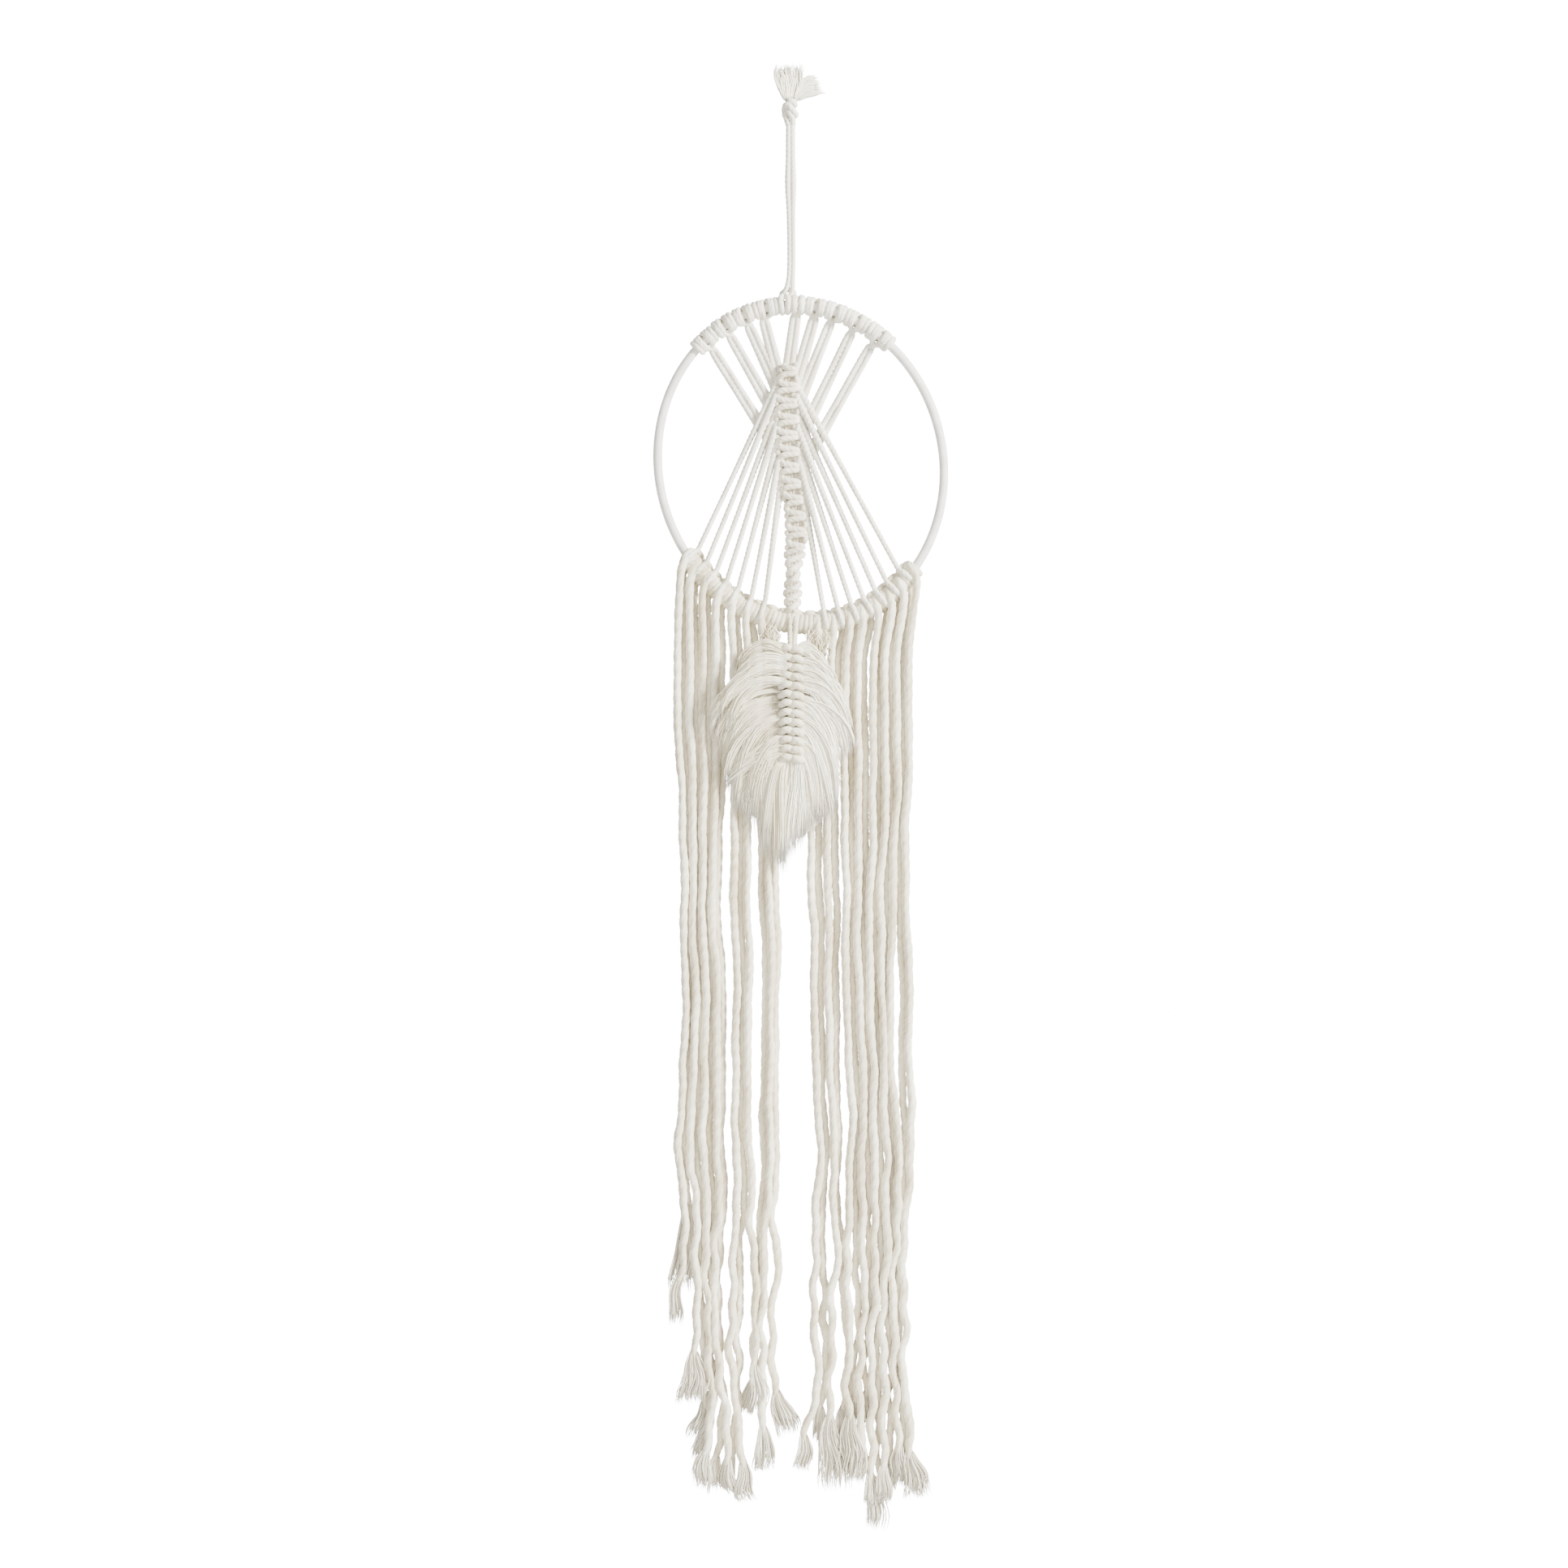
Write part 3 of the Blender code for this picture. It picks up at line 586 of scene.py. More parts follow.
def tuft_lines(places, half_wide, count, root_wide, loose):
    """Fibres from the end of a cord, spreading and waving along these places. Each belongs to a
    lock; loose is how far it strays from that."""
    axis = even(places, FINE_STEP)
    run = axis[-1] - axis[0]
    run /= np.linalg.norm(run)
    across = np.array((run[2], 0.0, -run[0]))
    root_half = root_wide * 0.42
    locks = max(3, count // 16)
    lock_out = rng.uniform(-1.0, 1.0, locks)
    lock_deep = rng.uniform(-0.7, 0.7, locks)
    lock_reach = rng.uniform(0.7, 1.06, locks)
    lock_wave = rng.uniform(0.0, TURN, locks)
    lines = np.empty((count, FIBRE_POINTS, 3))
    for i in range(count):
        lock = i % locks
        spread = ALONG_FIBRE * lock_reach[lock] * rng.uniform(0.82, 1.02)
        centre = at_spots(axis, spread * (len(axis) - 1))
        opening = np.sin(0.5 * math.pi * np.clip(spread * 1.35, 0, 1))
        wide = root_half + (half_wide - root_half) * opening
        out = np.clip(lock_out[lock] + rng.normal(0.0, loose), -1.05, 1.05)
        back = np.clip(lock_deep[lock] + rng.normal(0.0, loose), -1.0, 1.0)
        wave = 0.2 * half_wide * np.sin(6.0 * spread + lock_wave[lock]) * spread
        offset = (wide * out + wave)[:, None] * across + (wide * 0.6 * back)[:, None] * BACKWARD
        lines[i] = centre + offset
    return lines


def make_hanger(cord_finish, fibre_finish):
    """The doubled cord on top of the rod, the knot at its upper end, and the knot's two tails."""
    middle = sum(arc_place(x, True) for x in HANGER_ENDS) / 2
    skins = []
    for column, way in ((1, -1), (2, 1)):
        line = [(row[column], 0.0, row[0]) for row in HANGER_ROUTE]
        line += [(-0.7 + way * 2.0, 0.5, -102.0), (-1.8 + way * 2.4, 1.6, -105.0)]
        turns = [(-way * aside, turn, reach) for aside, turn, reach in HANGER_TURNS]
        wound = round_rod(turns, middle, soften=3)
        route = eased(np.vstack([line, wound]), 3.0)
        swell = np.interp(np.arange(len(route)) * RING_STEP, HANGER_GONE, HANGER_SWELL)
        skins.append(twisted(route, HANGER_CORD, start=way, groove=HANGER_GROOVE, swell=swell))
    skins.append(twisted(eased(HANGER_BAR, 2.5), HANGER_CORD + 0.9, groove=HANGER_GROOVE))
    make_piece("hanger_cords", skins, cord_finish, "hanger_loop")

    knot = [
        twisted(eased(strand, 3.0), HANGER_CORD + 1.1, start=start, groove=HANGER_GROOVE)
        for strand, start in ((KNOT_LEFT, 0.0), (KNOT_RIGHT, 1.0))
    ]
    make_piece("hanger_knot_cords", knot, cord_finish, "hanger_knot")

    for node, places, half_wide, count, root_wide in TAILS:
        lines = tuft_lines(places, half_wide, count, root_wide, TAIL_LOOSE)
        # The tails take the lighter copy of the cotton, which is painted light.
        make_piece(node + "_fibres", [hairs(lines, TUFT_FIBRE)], fibre_finish, node)


# --- web, above the spine ---

# One folded cord a row. name, x of its knot's two ends, x of its strands on the hoop, z where
# it meets the spine, and x where it meets it
WEB_CORDS = (
    ("web_left_1", -58, -46.9, -52.5, -210.5, -3),
    ("web_left_2", -46.2, -34.9, -41, -189, -4),
    ("web_left_3", -34.2, -23.4, -28.5, -170, -5),
    ("web_left_4", -22.7, -7.5, -18, -164, -5.3),
    ("web_centre", 0.3, 8.7, 3.5, -156, -1.8),
    ("web_right_1", 9.4, 21, 16, -164, 1.9),
    ("web_right_2", 21.7, 33.4, 27, -182, 1),
    ("web_right_3", 34.1, 47.3, 41, -202.5, 2),
    ("web_right_4", 48.1, 61.5, 54, -219.5, 3),
)
WEB_CORD = CORD + 0.4
WEB_GROOVE = 0.1
WEB_START = {"out": -4.6, "depth": 2.4}  # from the rod's middle, where a strand leaves it
WEB_DEPTH = 3.0  # where it meets the spine
WEB_BAR = WRAP + 2.6  # reach of the bar behind each knot
WEB_PARTING = 1.5  # how far a knot's last wraps stand apart from its middle
# Share of the way to the spine, and how far a strand lies from the middle of its pair, in cords
WEB_STRANDS_APART = ((0.04, 0.42), (0.12, 0.52), (0.5, 0.53), (0.8, 0.56), (1.0, 0.62))


def knot_rows(way, wraps, pitch):
    """Half of a web cord's knot: the bar across the back, wraps worked inwards, the way out."""
    outer = pitch * (wraps - 0.5)
    rows = [
        (0.0, 180.0, WEB_BAR),
        (way * outer * 0.7, 182.0, WEB_BAR),
        (way * outer, 165.0, WRAP + 1.0),
    ]
    for k in range(WRAP_STEPS * wraps - 2):
        # Each wrap goes straight round; the cord moves along only behind the rod.
        place = outer - pitch * ((k + 2) // WRAP_STEPS)
        # The last wraps part towards the inside, where the two strands come out.
        if wraps > 1 and k >= WRAP_STEPS * wraps - 6:
            place += WEB_PARTING
        reach = WRAP - 0.3 + 0.12 * math.sin(1.3 * k + way)
        rows.append((way * place, 135.0 - STEP_DEGREES * k, reach))
    return rows


def web_strand(way, hoop_x, spine_z, spine_x):
    """One strand of a pair, from the inside of the rod to the spine."""
    start = hoop_point(hoop_angle(hoop_x, True), **WEB_START)
    end = np.array((spine_x, WEB_DEPTH, spine_z))
    run = (end - start) / np.linalg.norm(end - start)
    across = np.array((run[2], 0.0, -run[0]))
    # The arc runs anticlockwise, so the first strand is the right-hand one.
    beside = across * CORD * (-way)
    return [start + (end - start) * share + beside * apart for share, apart in WEB_STRANDS_APART]


def web_swell(route, strand, pitch):
    """Thicker near the spine, and in the knot thick enough for wraps at this pitch to touch."""
    to_go = np.linspace(1.0, 0.0, len(route)) * line_length(route)
    swell = 1.0 + 0.4 * np.clip(1.2 - to_go / 45.0, 0.0, 1.0)
    knotted = np.clip((to_go - line_length(strand) - 3.0) / 4.0, 0.0, 1.0)
    return swell + knotted * ((pitch + 1.2) / WEB_CORD - 1.0)


def make_web(finish):
    for i, (name, left, right, hoop_x, spine_z, spine_x) in enumerate(WEB_CORDS):
        left_place, right_place = arc_place(left, True), arc_place(right, True)
        middle = (left_place + right_place) / 2
        width = abs(left_place - right_place)
        wraps = max(1, round(width / 2 / WRAP_PITCH))
        pitch = width / 2 / wraps
        skins = []
        for way in (-1, 1):
            wound = round_rod(knot_rows(way, wraps, pitch), middle, soften=3)
            strand = web_strand(way, hoop_x, spine_z, spine_x)
            route = eased(np.vstack([wound, strand]), 2.2)
            swell = web_swell(route, strand, pitch)
            start = 1.3 * i + way
            skins.append(twisted(route, WEB_CORD, start=start, groove=WEB_GROOVE, swell=swell))
        make_piece(name + "_cord", skins, finish, name)


# --- spine ---

# z, middle x, half width, half depth
SPINE_SECTIONS = (
    (-149.5, -0.7, 5, 3.6),
    (-156, -1.7, 6.4, 4.2),
    (-166, -2.2, 7.5, 4.4),
    (-190, -1.8, 7.7, 4.4),
    (-212, -0.6, 7.3, 4.4),
    (-232, 1.6, 6.6, 4.3),
    (-243, 3.3, 6.6, 4.2),
    (-254, 3.7, 7, 4.2),
    (-265, 2.6, 5.9, 4.2),
    (-276, 1.6, 5.2, 4),
    (-290, 1.3, 5, 4),
    (-304, 1, 5.2, 4),
)
SPINE_TOP = SPINE_SECTIONS[0][0] + 1.5
SPINE_FOOT = SPINE_SECTIONS[-1][0]
SPINE_GROOVE = 0.13
SPINE_STEP = 0.8
SPINE_POINTS = 64  # to a square knot
SQUARE_KNOT = 9.9  # height of one square knot
SPIRAL_TOP = -262.0
SPIRAL_STEP = 4.75  # how far a cord sinks in half a turn
SPIRAL_LEAN = 7.5  # degrees that the spiral turns for each millimetre
CORE_CORD = 2.6
CORE_PLACES = (-2.7, -0.9, 0.9, 2.7)


def square_knots():
    """The two working cords of the square knots."""
    knots = (SPINE_TOP - SPIRAL_TOP) / SQUARE_KNOT
    phase = np.linspace(0.0, knots * TURN, int(knots * SPINE_POINTS))
    # Each knot meets the next on the left and stands apart from it on the right.
    drop = (phase + 0.5 * np.sin(phase) + 0.3 * np.sin(2 * phase)) / TURN
    z = SPINE_TOP - SQUARE_KNOT * drop
    x, wide, deep = between_rows(SPINE_SECTIONS, z)
    wide = wide - CORD / 2
    deep = deep - CORD / 2 + 0.6
    across = np.cos(phase)
    across = np.sign(across) * np.abs(across) ** 0.8
    lift = np.abs(np.sin(phase))
    uneven = 0.5 * np.sin(0.37 * phase) + 0.4 * np.sin(0.83 * phase + 1.0)
    over_depth = -deep * (0.2 + 0.85 * lift**0.7)
    over = np.stack([x - wide * across + 0.4 * uneven, over_depth, z], axis=1)
    under_depth = deep * (1.6 * lift**0.8 - 0.85)
    under = np.stack([x + (wide + 0.5) * across, under_depth, z + uneven], axis=1)
    return [
        twisted(even(over, SPINE_STEP), CORD + 1.0, groove=SPINE_GROOVE),
        twisted(even(under, SPINE_STEP), CORD + 0.4, groove=SPINE_GROOVE, start=1.0),
    ]


def spiral_knots():
    """Half knots, all worked the same way: both cords wind round the core as a spiral."""
    turns = (SPIRAL_TOP - SPINE_FOOT - 0.5) / SPIRAL_STEP
    half_turns = np.linspace(0.0, turns, int(turns * 24))
    z = SPIRAL_TOP + 1.0 - half_turns * SPIRAL_STEP
    x, wide, deep = between_rows(SPINE_SECTIONS, z)
    lean = np.radians(-25.0 + (SPIRAL_TOP - z) * SPIRAL_LEAN)
    skins = []
    for start in (0.0, math.pi):
        turn = half_turns * math.pi + start
        flat = np.cos(turn) * (wide - CORD / 2 + 0.9)
        back = -np.sin(turn) * (deep - CORD / 2 + 0.5)
        along = x + flat * np.cos(lean) - back * np.sin(lean)
        depth = flat * np.sin(lean) * 0.8 + back * np.cos(lean)
        line = even(np.stack([along, depth, z], axis=1), SPINE_STEP)
        skins.append(twisted(line, CORD + 0.9, groove=SPINE_GROOVE, start=start))
    return skins


def core_cords():
    """The straight cords that all the knots are tied round."""
    z = np.linspace(SPINE_TOP, SPINE_FOOT, 60)
    x = between_rows(SPINE_SECTIONS, z)[0]
    skins = []
    for aside in CORE_PLACES:
        line = np.stack([x + aside * 1.1, np.full(len(z), 0.2 * abs(aside)), z], axis=1)
        skins.append(twisted(even(line, 1.4), CORE_CORD, start=aside))
    return skins


def make_spine(finish):
    """Square knots round a core, and below them half knots that wind into a spiral."""
    skins = square_knots() + spiral_knots() + core_cords()
    make_piece("knotted_spine", skins, finish, "spine")


# --- fan, below the web ---

# For each cord from the top: z where it leaves the spine, x where it meets the hoop
FAN_LEFT = (
    (-158, -63),
    (-167, -57),
    (-177, -51),
    (-186, -44),
    (-196.5, -36.5),
    (-208, -27.5),
    (-220, -18.5),
)
FAN_RIGHT = (
    (-161.5, 72),
    (-170, 64),
    (-179.5, 56.5),
    (-189, 48.5),
    (-198.5, 40),
    (-209, 31),
    (-219.5, 21.5),
)
FAN_CORD = 3.3
FAN_DEPTHS = (-0.7, -3.5)  # in turn, so that neighbours clear each other
FAN_FOOT = -7.4  # how far outside the rod's middle a cord reaches the band
# How each cord goes over the lower band. Place along the rod, turn, reach
FAN_TURNS = (
    (0, -50, 6.4),
    (0.4, -10, 6.6),
    (0.6, 30, 6.2),
    (0.7, 65, 5),
    (0.7, 100, 4.4),
)


def fan_line(depth, spine_z, hoop_x):
    """The middle line of one fan cord, from inside the spine to behind the lower band."""
    side = math.copysign(1.0, hoop_x)
    spine_x, wide, _ = between_rows(SPINE_SECTIONS, spine_z)
    inside = np.array((spine_x + side * 2.0, 1.0, spine_z + 4.0))
    head = np.array((spine_x + side * (wide - 1.0), depth * 0.6, spine_z))
    foot = hoop_point(hoop_angle(hoop_x, False), out=FAN_FOOT, depth=depth - 1.2)
    straight = [inside, head, head * 0.7 + foot * 0.3, head * 0.3 + foot * 0.7, foot]
    wound = round_rod(FAN_TURNS, arc_place(hoop_x, False))
    return eased(np.vstack([straight, wound]), 4.0)


def make_fan(finish):
    """Cords that spread from the spine to the lower arc. They are thickest near the spine."""
    cords = numbered("fan_left", FAN_LEFT) + numbered("fan_right", FAN_RIGHT)
    for i, (name, (spine_z, hoop_x)) in enumerate(cords):
        # Each side starts with the deeper of the two depths.
        route = fan_line(FAN_DEPTHS[i % len(FAN_LEFT) % 2], spine_z, hoop_x)
        gone = np.linspace(0.0, 1.0, len(route)) * line_length(route)
        swell = 1.05 + 0.35 * np.clip(1.4 - gone / 50.0, 0.0, 1.0)
        skin = twisted(route, FAN_CORD, start=0.9 * i, swell=swell)
        make_piece(name + "_cord", [skin], finish, name)


# --- fringe ---

FRINGE_HEIGHTS = (-324, -400, -475, -550, -625, -675, -700, -725, -775)
# One cord a row. x on the hoop, x at each of FRINGE_HEIGHTS as far as the cord reaches, x and z
# of its tip, length and half width of its brushed end
FRINGE_LEFT = (
    (-64, (-70, -68, -65, -65, -68, -66, -66.5, -70.5), -72, -740, 22, 2.6),
    (-62, (-66, -64.5, -62.5, -62.5, -64, -64.5, -65), -67, -722, 45, 4.5),
    (-59, (-62, -61, -59.5, -59, -61, -59, -58.5, -57, -58), -59, -788, 22, 6),
    (-55.5, (-58, -57.5, -57, -56, -57, -56, -55.5, -55, -51), -58.5, -813, 18, 4.5),
    (-52, (-54, -54, -54, -52.5, -53, -52.5, -52.5, -51, -48), -56, -843, 18, 4),
    (-48, (-50, -50.5, -51, -49, -49, -49, -48.5, -48.5, -47), -57, -824, 16, 3.5),
    (-44, (-46, -46.5, -48, -45.5, -44.5, -46, -46.5, -47, -43), -37, -844, 14, 3.2),
    (-40, (-42, -42.5, -45, -42, -42, -43, -44, -44.5, -42.5), -46, -843, 14, 3.2),
    (-35.5, (-35, -34.5, -34.5, -33.5, -33.5, -34.5, -34.5, -35, -37), -26, -848, 16, 3.4),
    (-31.5, (-31, -30.5, -30.5, -29.5, -29.5, -30, -31, -31, -33), -38, -842, 14, 3),
    (-27, (-26, -26, -26.5, -26, -26, -25, -21.5, -20.5, -22), -21, -792, 20, 3.6),
    (-22.5, (-20, -18, -17, -15, -16.5, -18.5, -19, -19, -24), -29.5, -795, 14, 3.2),
    (-18, (-15, -14, -13, -12, -13, -15, -16, -16.5, -19), -14.5, -829, 18, 4),
    (-13, (-11, -10, -9, -9, -9.5, -11.5, -6, -10.5, -13), 0, -808, 20, 4.6),
)
FRINGE_RIGHT = (
    (17, (15, 13, 13, 15, 17.5, 16, 16.5, 14, 16), 7, -829, 14, 3.2),
    (22, (19, 17.5, 17.5, 19, 20.5, 20, 20, 21.5, 20), 19, -813, 14, 3.2),
    (27, (25, 23, 22.5, 24, 25.5, 28, 30, 24.5, 23.5), 28, -842, 34, 6),
    (32, (29, 27.5, 27.5, 28.5, 28, 30, 32, 32.5, 36), 34, -836, 34, 6),
    (37, (33.5, 33.5, 33.5, 35, 37.5, 36.5, 34.2, 35, 35.5), 38.5, -838, 32, 5.5),
    (41, (37.5, 38, 37.5, 39, 41, 40.5, 40.5, 41, 39.5), 44, -802, 12, 3),
    (45, (41, 42, 41, 43, 45, 44, 44.5, 44.5, 43.5), 43.5, -835, 12, 3.4),
    (48.6, (44.5, 46.5, 45, 46, 48.5, 48, 48, 48, 47), 48, -800, 12, 3),
    (53.5, (51, 51, 49, 49, 52.5, 51.5, 51, 51.5, 50.5), 49, -853, 14, 3.2),
    (57.5, (54.5, 54.5, 52.5, 52.5, 56, 55, 54.5, 55, 54), 53, -866, 22, 4.2),
    (61.5, (58, 58.5, 56, 56, 59.5, 58.5, 58.5, 58, 57.5), 56, -850, 16, 3.2),
    (65, (62, 62, 59.5, 58, 63, 62, 61.5, 61.5, 61), 60, -842, 14, 3.2),
    (68.5, (65.5, 65.5, 63.5, 60, 66.5, 65, 64.5, 64.5, 63.5), 67, -836, 14, 3.4),
    (72, (69, 69, 67, 69.5, 70, 68, 67.5, 67.5, 66), 72, -840, 16, 3.6),
    (76, (72.5, 72.5, 70.5, 73.5, 74, 70.5, 70.5, 70, 68.5), 79.5, -846, 20, 5),
)
# The cords hang in a front and a back layer in turn. Depth of the layer, and how its cords
# leave the rod: place along it, turn, reach
FRINGE_LAYERS = (
    (-2.3, ((0, -78, 5.4), (0, -45, 6.9), (0, 0, 7.4), (0, 35, 7.0))),
    (2.3, ((0, 205, 6.0), (0, 170, 6.9), (0, 140, 6.7), (0, 110, 6.6))),
)
FRINGE_CORD = 4.5
FRINGE_TWIST = {"pitch": 26.0, "groove": 0.16}
FRINGE_STEP = 1.6
FRINGE_SWAY = 0.5
TUFT_WIDER = 1.45
TUFT_LONGER = 1.25
TUFT_LOOSE = 0.4
TUFT_FEWEST = 60  # fibres
TUFT_FIBRES_A_MM = 18  # more of them for each millimetre of half width
BAND_ENDS = (-63.6, 76.6)  # x of the ends of the knots on the rod
BAND_CORD = CORD + 0.8
BAND_GROOVE = 0.1
HITCH = 3  # wraps in each hitch
# The bar across the front of a hitch. Share of the hitch's wraps, wraps further on, turn after
# the last wrap, and reach
HITCH_BAR = (
    (0.8, 0.0, -30.0, WRAP + 2.0),
    (0.3, 0.0, 10.0, WRAP + 2.9),
    (0.0, 0.2, -20.0, WRAP + 1.4),
)


def make_band(finish):
    """The row of hitches on the lower arc, each with a bar over its three wraps."""
    start, end = (arc_place(x, False) for x in BAND_ENDS)
    wraps = int(abs(end - start) / WRAP_PITCH)
    skins = []
    for k in range(0, wraps, HITCH):
        count = min(HITCH, wraps - k)
        rows = []
        for step in range(count * WRAP_STEPS + 1):
            place = WRAP_PITCH * (k + 0.5 + step / WRAP_STEPS)
            lift = 0.25 * math.sin(step * 1.7 + k)
            rows.append((place, -80.0 - STEP_DEGREES * step, WRAP + 0.2 + lift))
        for share, on, turn, reach in HITCH_BAR:
            place = WRAP_PITCH * (k + count * share + on)
            rows.append((place, -80.0 - 360.0 * count + turn, reach))
        route = even(round_rod(rows, start, soften=3), RING_STEP)
        skins.append(twisted(route, BAND_CORD, start=0.7 * k, groove=BAND_GROOVE))
    make_piece("lower_knots", skins, finish, "fringe")


def ripple(fall, length, phase):
    return np.sin(TURN * fall / length + phase)


def growing(fall, start, over):
    """0 down to the start, and 1 from this much further down."""
    return np.clip((fall - start) / over, 0.0, 1.0)


def waver(fall, index):
    """How far a slack cord strays sideways as it falls. Neighbours mostly stray together."""
    together = ripple(fall, 131.0, 0.33 * index) + 0.7 * ripple(fall, 67.0, 0.5 * index + 1.0)
    alone = 0.32 * ripple(fall, 47.0, 2.3 * index) + 0.2 * ripple(fall, 23.0, 1.3 * index)
    alone *= 1.0 + 0.5 * growing(fall, 280.0, 160.0)
    kinks = ripple(fall, 29.0, 2.9 * index) * growing(fall, 320.0, 130.0)
    freedom = growing(fall, 0.0, 120.0) * (0.8 + 0.5 * growing(fall, 250.0, 150.0))
    return freedom * (0.75 * together + 0.8 * alone + 0.7 * kinks)


def fringe_line(index, hoop_x, places, tip, brushed):
    """The middle line of one fringe cord, from its knot to where its end is brushed out, and
    the rest of that line."""
    layer, turns = FRINGE_LAYERS[index % 2]
    line = list(round_rod(turns, arc_place(hoop_x, False), soften=2))
    for step, (x, z) in enumerate(zip(places, FRINGE_HEIGHTS)):
        sway = FRINGE_SWAY * math.sin(2.4 * step + 1.7 * index)
        line.append((x, layer + sway, z))
    line.append(tip)
    line = soft(even(line, 1.0), 7)
    fall = line[0, 2] - line[:, 2]
    line[:, 0] += waver(fall, index)
    line[:, 1] += 0.3 * waver(fall + 35.0, 2.6 * index)
    along = distances(line)
    twisted_part = along < along[-1] - brushed + 2.0
    return even(line[twisted_part], FRINGE_STEP), line[~twisted_part]


def make_fringe(cord_finish, painted_shade_finish):
    """The band on the lower arc, and each cord that hangs from it with its brushed end."""
    make_band(cord_finish)
    cords = numbered("fringe_left", FRINGE_LEFT) + numbered("fringe_right", FRINGE_RIGHT)
    for index, (name, row) in enumerate(cords):
        hoop_x, places, tip_x, tip_z, brushed, half_wide = row
        layer = FRINGE_LAYERS[index % 2][0]
        tip = (tip_x, layer, tip_z)
        route, rest = fringe_line(index, hoop_x, places, tip, brushed * TUFT_LONGER)
        spots = np.arange(len(route))
        swell = 1.2 + 0.06 * np.sin(spots * 0.11 + index) + 0.05 * np.sin(spots * 0.31 + 2 * index)
        # Its last few rings draw in, where the brushed end starts.
        swell *= 1.0 - 0.25 * np.clip(1.0 - (len(route) - 1 - spots) / 8.0, 0.0, 1.0)
        skin = twisted(route, FRINGE_CORD, start=1.1 * index, swell=swell, **FRINGE_TWIST)
        cord = make_piece(name, [skin], cord_finish, "fringe")
        half_wide *= TUFT_WIDER
        count = int(TUFT_FEWEST + TUFT_FIBRES_A_MM * half_wide)
        below = np.vstack([[route[-5]], rest, [(tip_x, layer, tip_z - 1.0)]])
        lines = tuft_lines(below, half_wide, count, FRINGE_CORD, TUFT_LOOSE)
        # The brushed end takes the darker cotton, which is painted shade.
        tuft = make_piece(name + "_tuft", [hairs(lines, TUFT_FIBRE)], painted_shade_finish, "fringe")


# --- leaf ---

# z, left edge, right edge
LEAF_SECTIONS = (
    (-321.5, -13, 13),
    (-325, -21.5, 14.5),
    (-336.5, -28, 18),
    (-349, -34, 23.5),
    (-361.5, -42.5, 30),
    (-374, -47, 34),
    (-386.5, -46.5, 37.5),
    (-396.5, -43, 32),
    (-406.5, -38.5, 28),
    (-416.5, -38, 29.5),
    (-425.5, -35, 28.5),
    (-431.5, -23, 23),
    (-438, -20.5, 12),
    (-446.5, -16, 5.5),
    (-455, -14, 0),
    (-462.5, -8.5, -4.5),
)
LEAF_TIP = (-6.5, -463.0)  # x, z
LEAF_DEPTH = -9.0
LEAF_MIDDLE = 0.5  # x
LEAF_ROWS = 12  # rows of locks beside the rib
LEAF_LOW_ROWS = 4  # rows of locks from the foot of the rib
ROOTS_TOP = -323.0
ROOTS_FALL = 70.5  # from the topmost row to the lowest one beside the rib
LOW_ROOTS = -386.0  # z of the roots at the rib's foot
# Its front and its back: locks in a row, fibres in a lock, thickness of a fibre
LEAF_FRONT = (6, 24, 0.66)
LEAF_BACK = (4, 9, 0.8)
LEAF_FULLNESS = {-1: 3.4, 1: 0.6}  # how uneven its surface is, on the left and on the right
LEAF_RISE = {-1: 8.0, 1: 6.5}  # how high the topmost locks arch
# How far each row of locks on the left stands forward: hollows lie between the full rows. The
# last LEAF_LOW_ROWS hang below the rib.
LEAF_LIFTS = (
    *(1.0, 3.4, 3.8, 2.6, -2.6, -3.6, -3.0, -1.6, -2.6, -1.0, -1.6, -0.2),
    *(-1.6, -1.2, -1.0, -1.4),
)
STRAYS = 0.06  # share of fibres that curl away
BODY_COLUMNS = 18
BODY_ROWS = 40
BODY_LEVELS = (-326.0, -440.0)
BODY_LENGTH = 136.0  # for the map
BODY_SHARES = (0.72, 0.74)  # its edges as shares of the leaf's
# The loose fibres over the top of the leaf: side of the stem, nearest and furthest x there
TOP_FIBRES = ((-1, 7.5, 15.0), (1, 9.5, 23.0))
TOP_FIBRES_A_SIDE = 110
TOP_FIBRE = 0.7
RIB_KNOTS = 13
RIB_TOP = -323.5
RIB_PITCH = 5.6
RIB_CORD = 4.7
RIB_GROOVE = 0.09
# One half of a knot on the rib, from its outer end round the front to the back. Away from the
# middle, depth, height
RIB_KNOT = (
    (7.4, -10, -2.6),
    (5.7, -13.2, -0.7),
    (3.5, -14.8, 0.3),
    (1.1, -14, 0.1),
    (-0.4, -11.6, -0.8),
    (0.4, -9.2, -1.8),
    (3, -8.4, -2.6),
)
STEM_CORD = 3.7
STEM_SIDES = (-0.9, 2.2)
# How each cord of the stem leaves the lower band and goes down inside the rib's knots. Share
# of its distance aside, x, depth, z
STEM_ROUTE = (
    (1.2, 0.6, 3, -303),
    (1.2, 0.6, -4, -304),
    (1.2, 0.6, -6.6, -309),
    (1, 0.6, -5.6, -315),
    (0.8, 0.6, -10.2, -322),
    (0.6, 0.3, -11, -350),
    (0.5, 0.2, -11, -396),
)


def leaf_edge(side):
    """The leaf's outline down one side: x and z of points on it, and how far along each is."""
    column = 1 if side < 0 else 2
    points = [(row[column], row[0]) for row in LEAF_SECTIONS]
    edge = np.asarray([*points, LEAF_TIP], float)
    return edge, distances(edge)


def curve(root, first, second, tip, share):
    """A curve from root to tip that sets out towards first and arrives from second."""
    return (
        root * (1 - share) ** 3
        + 3 * first * share * (1 - share) ** 2
        + 3 * second * share**2 * (1 - share)
        + tip * share**3
    )


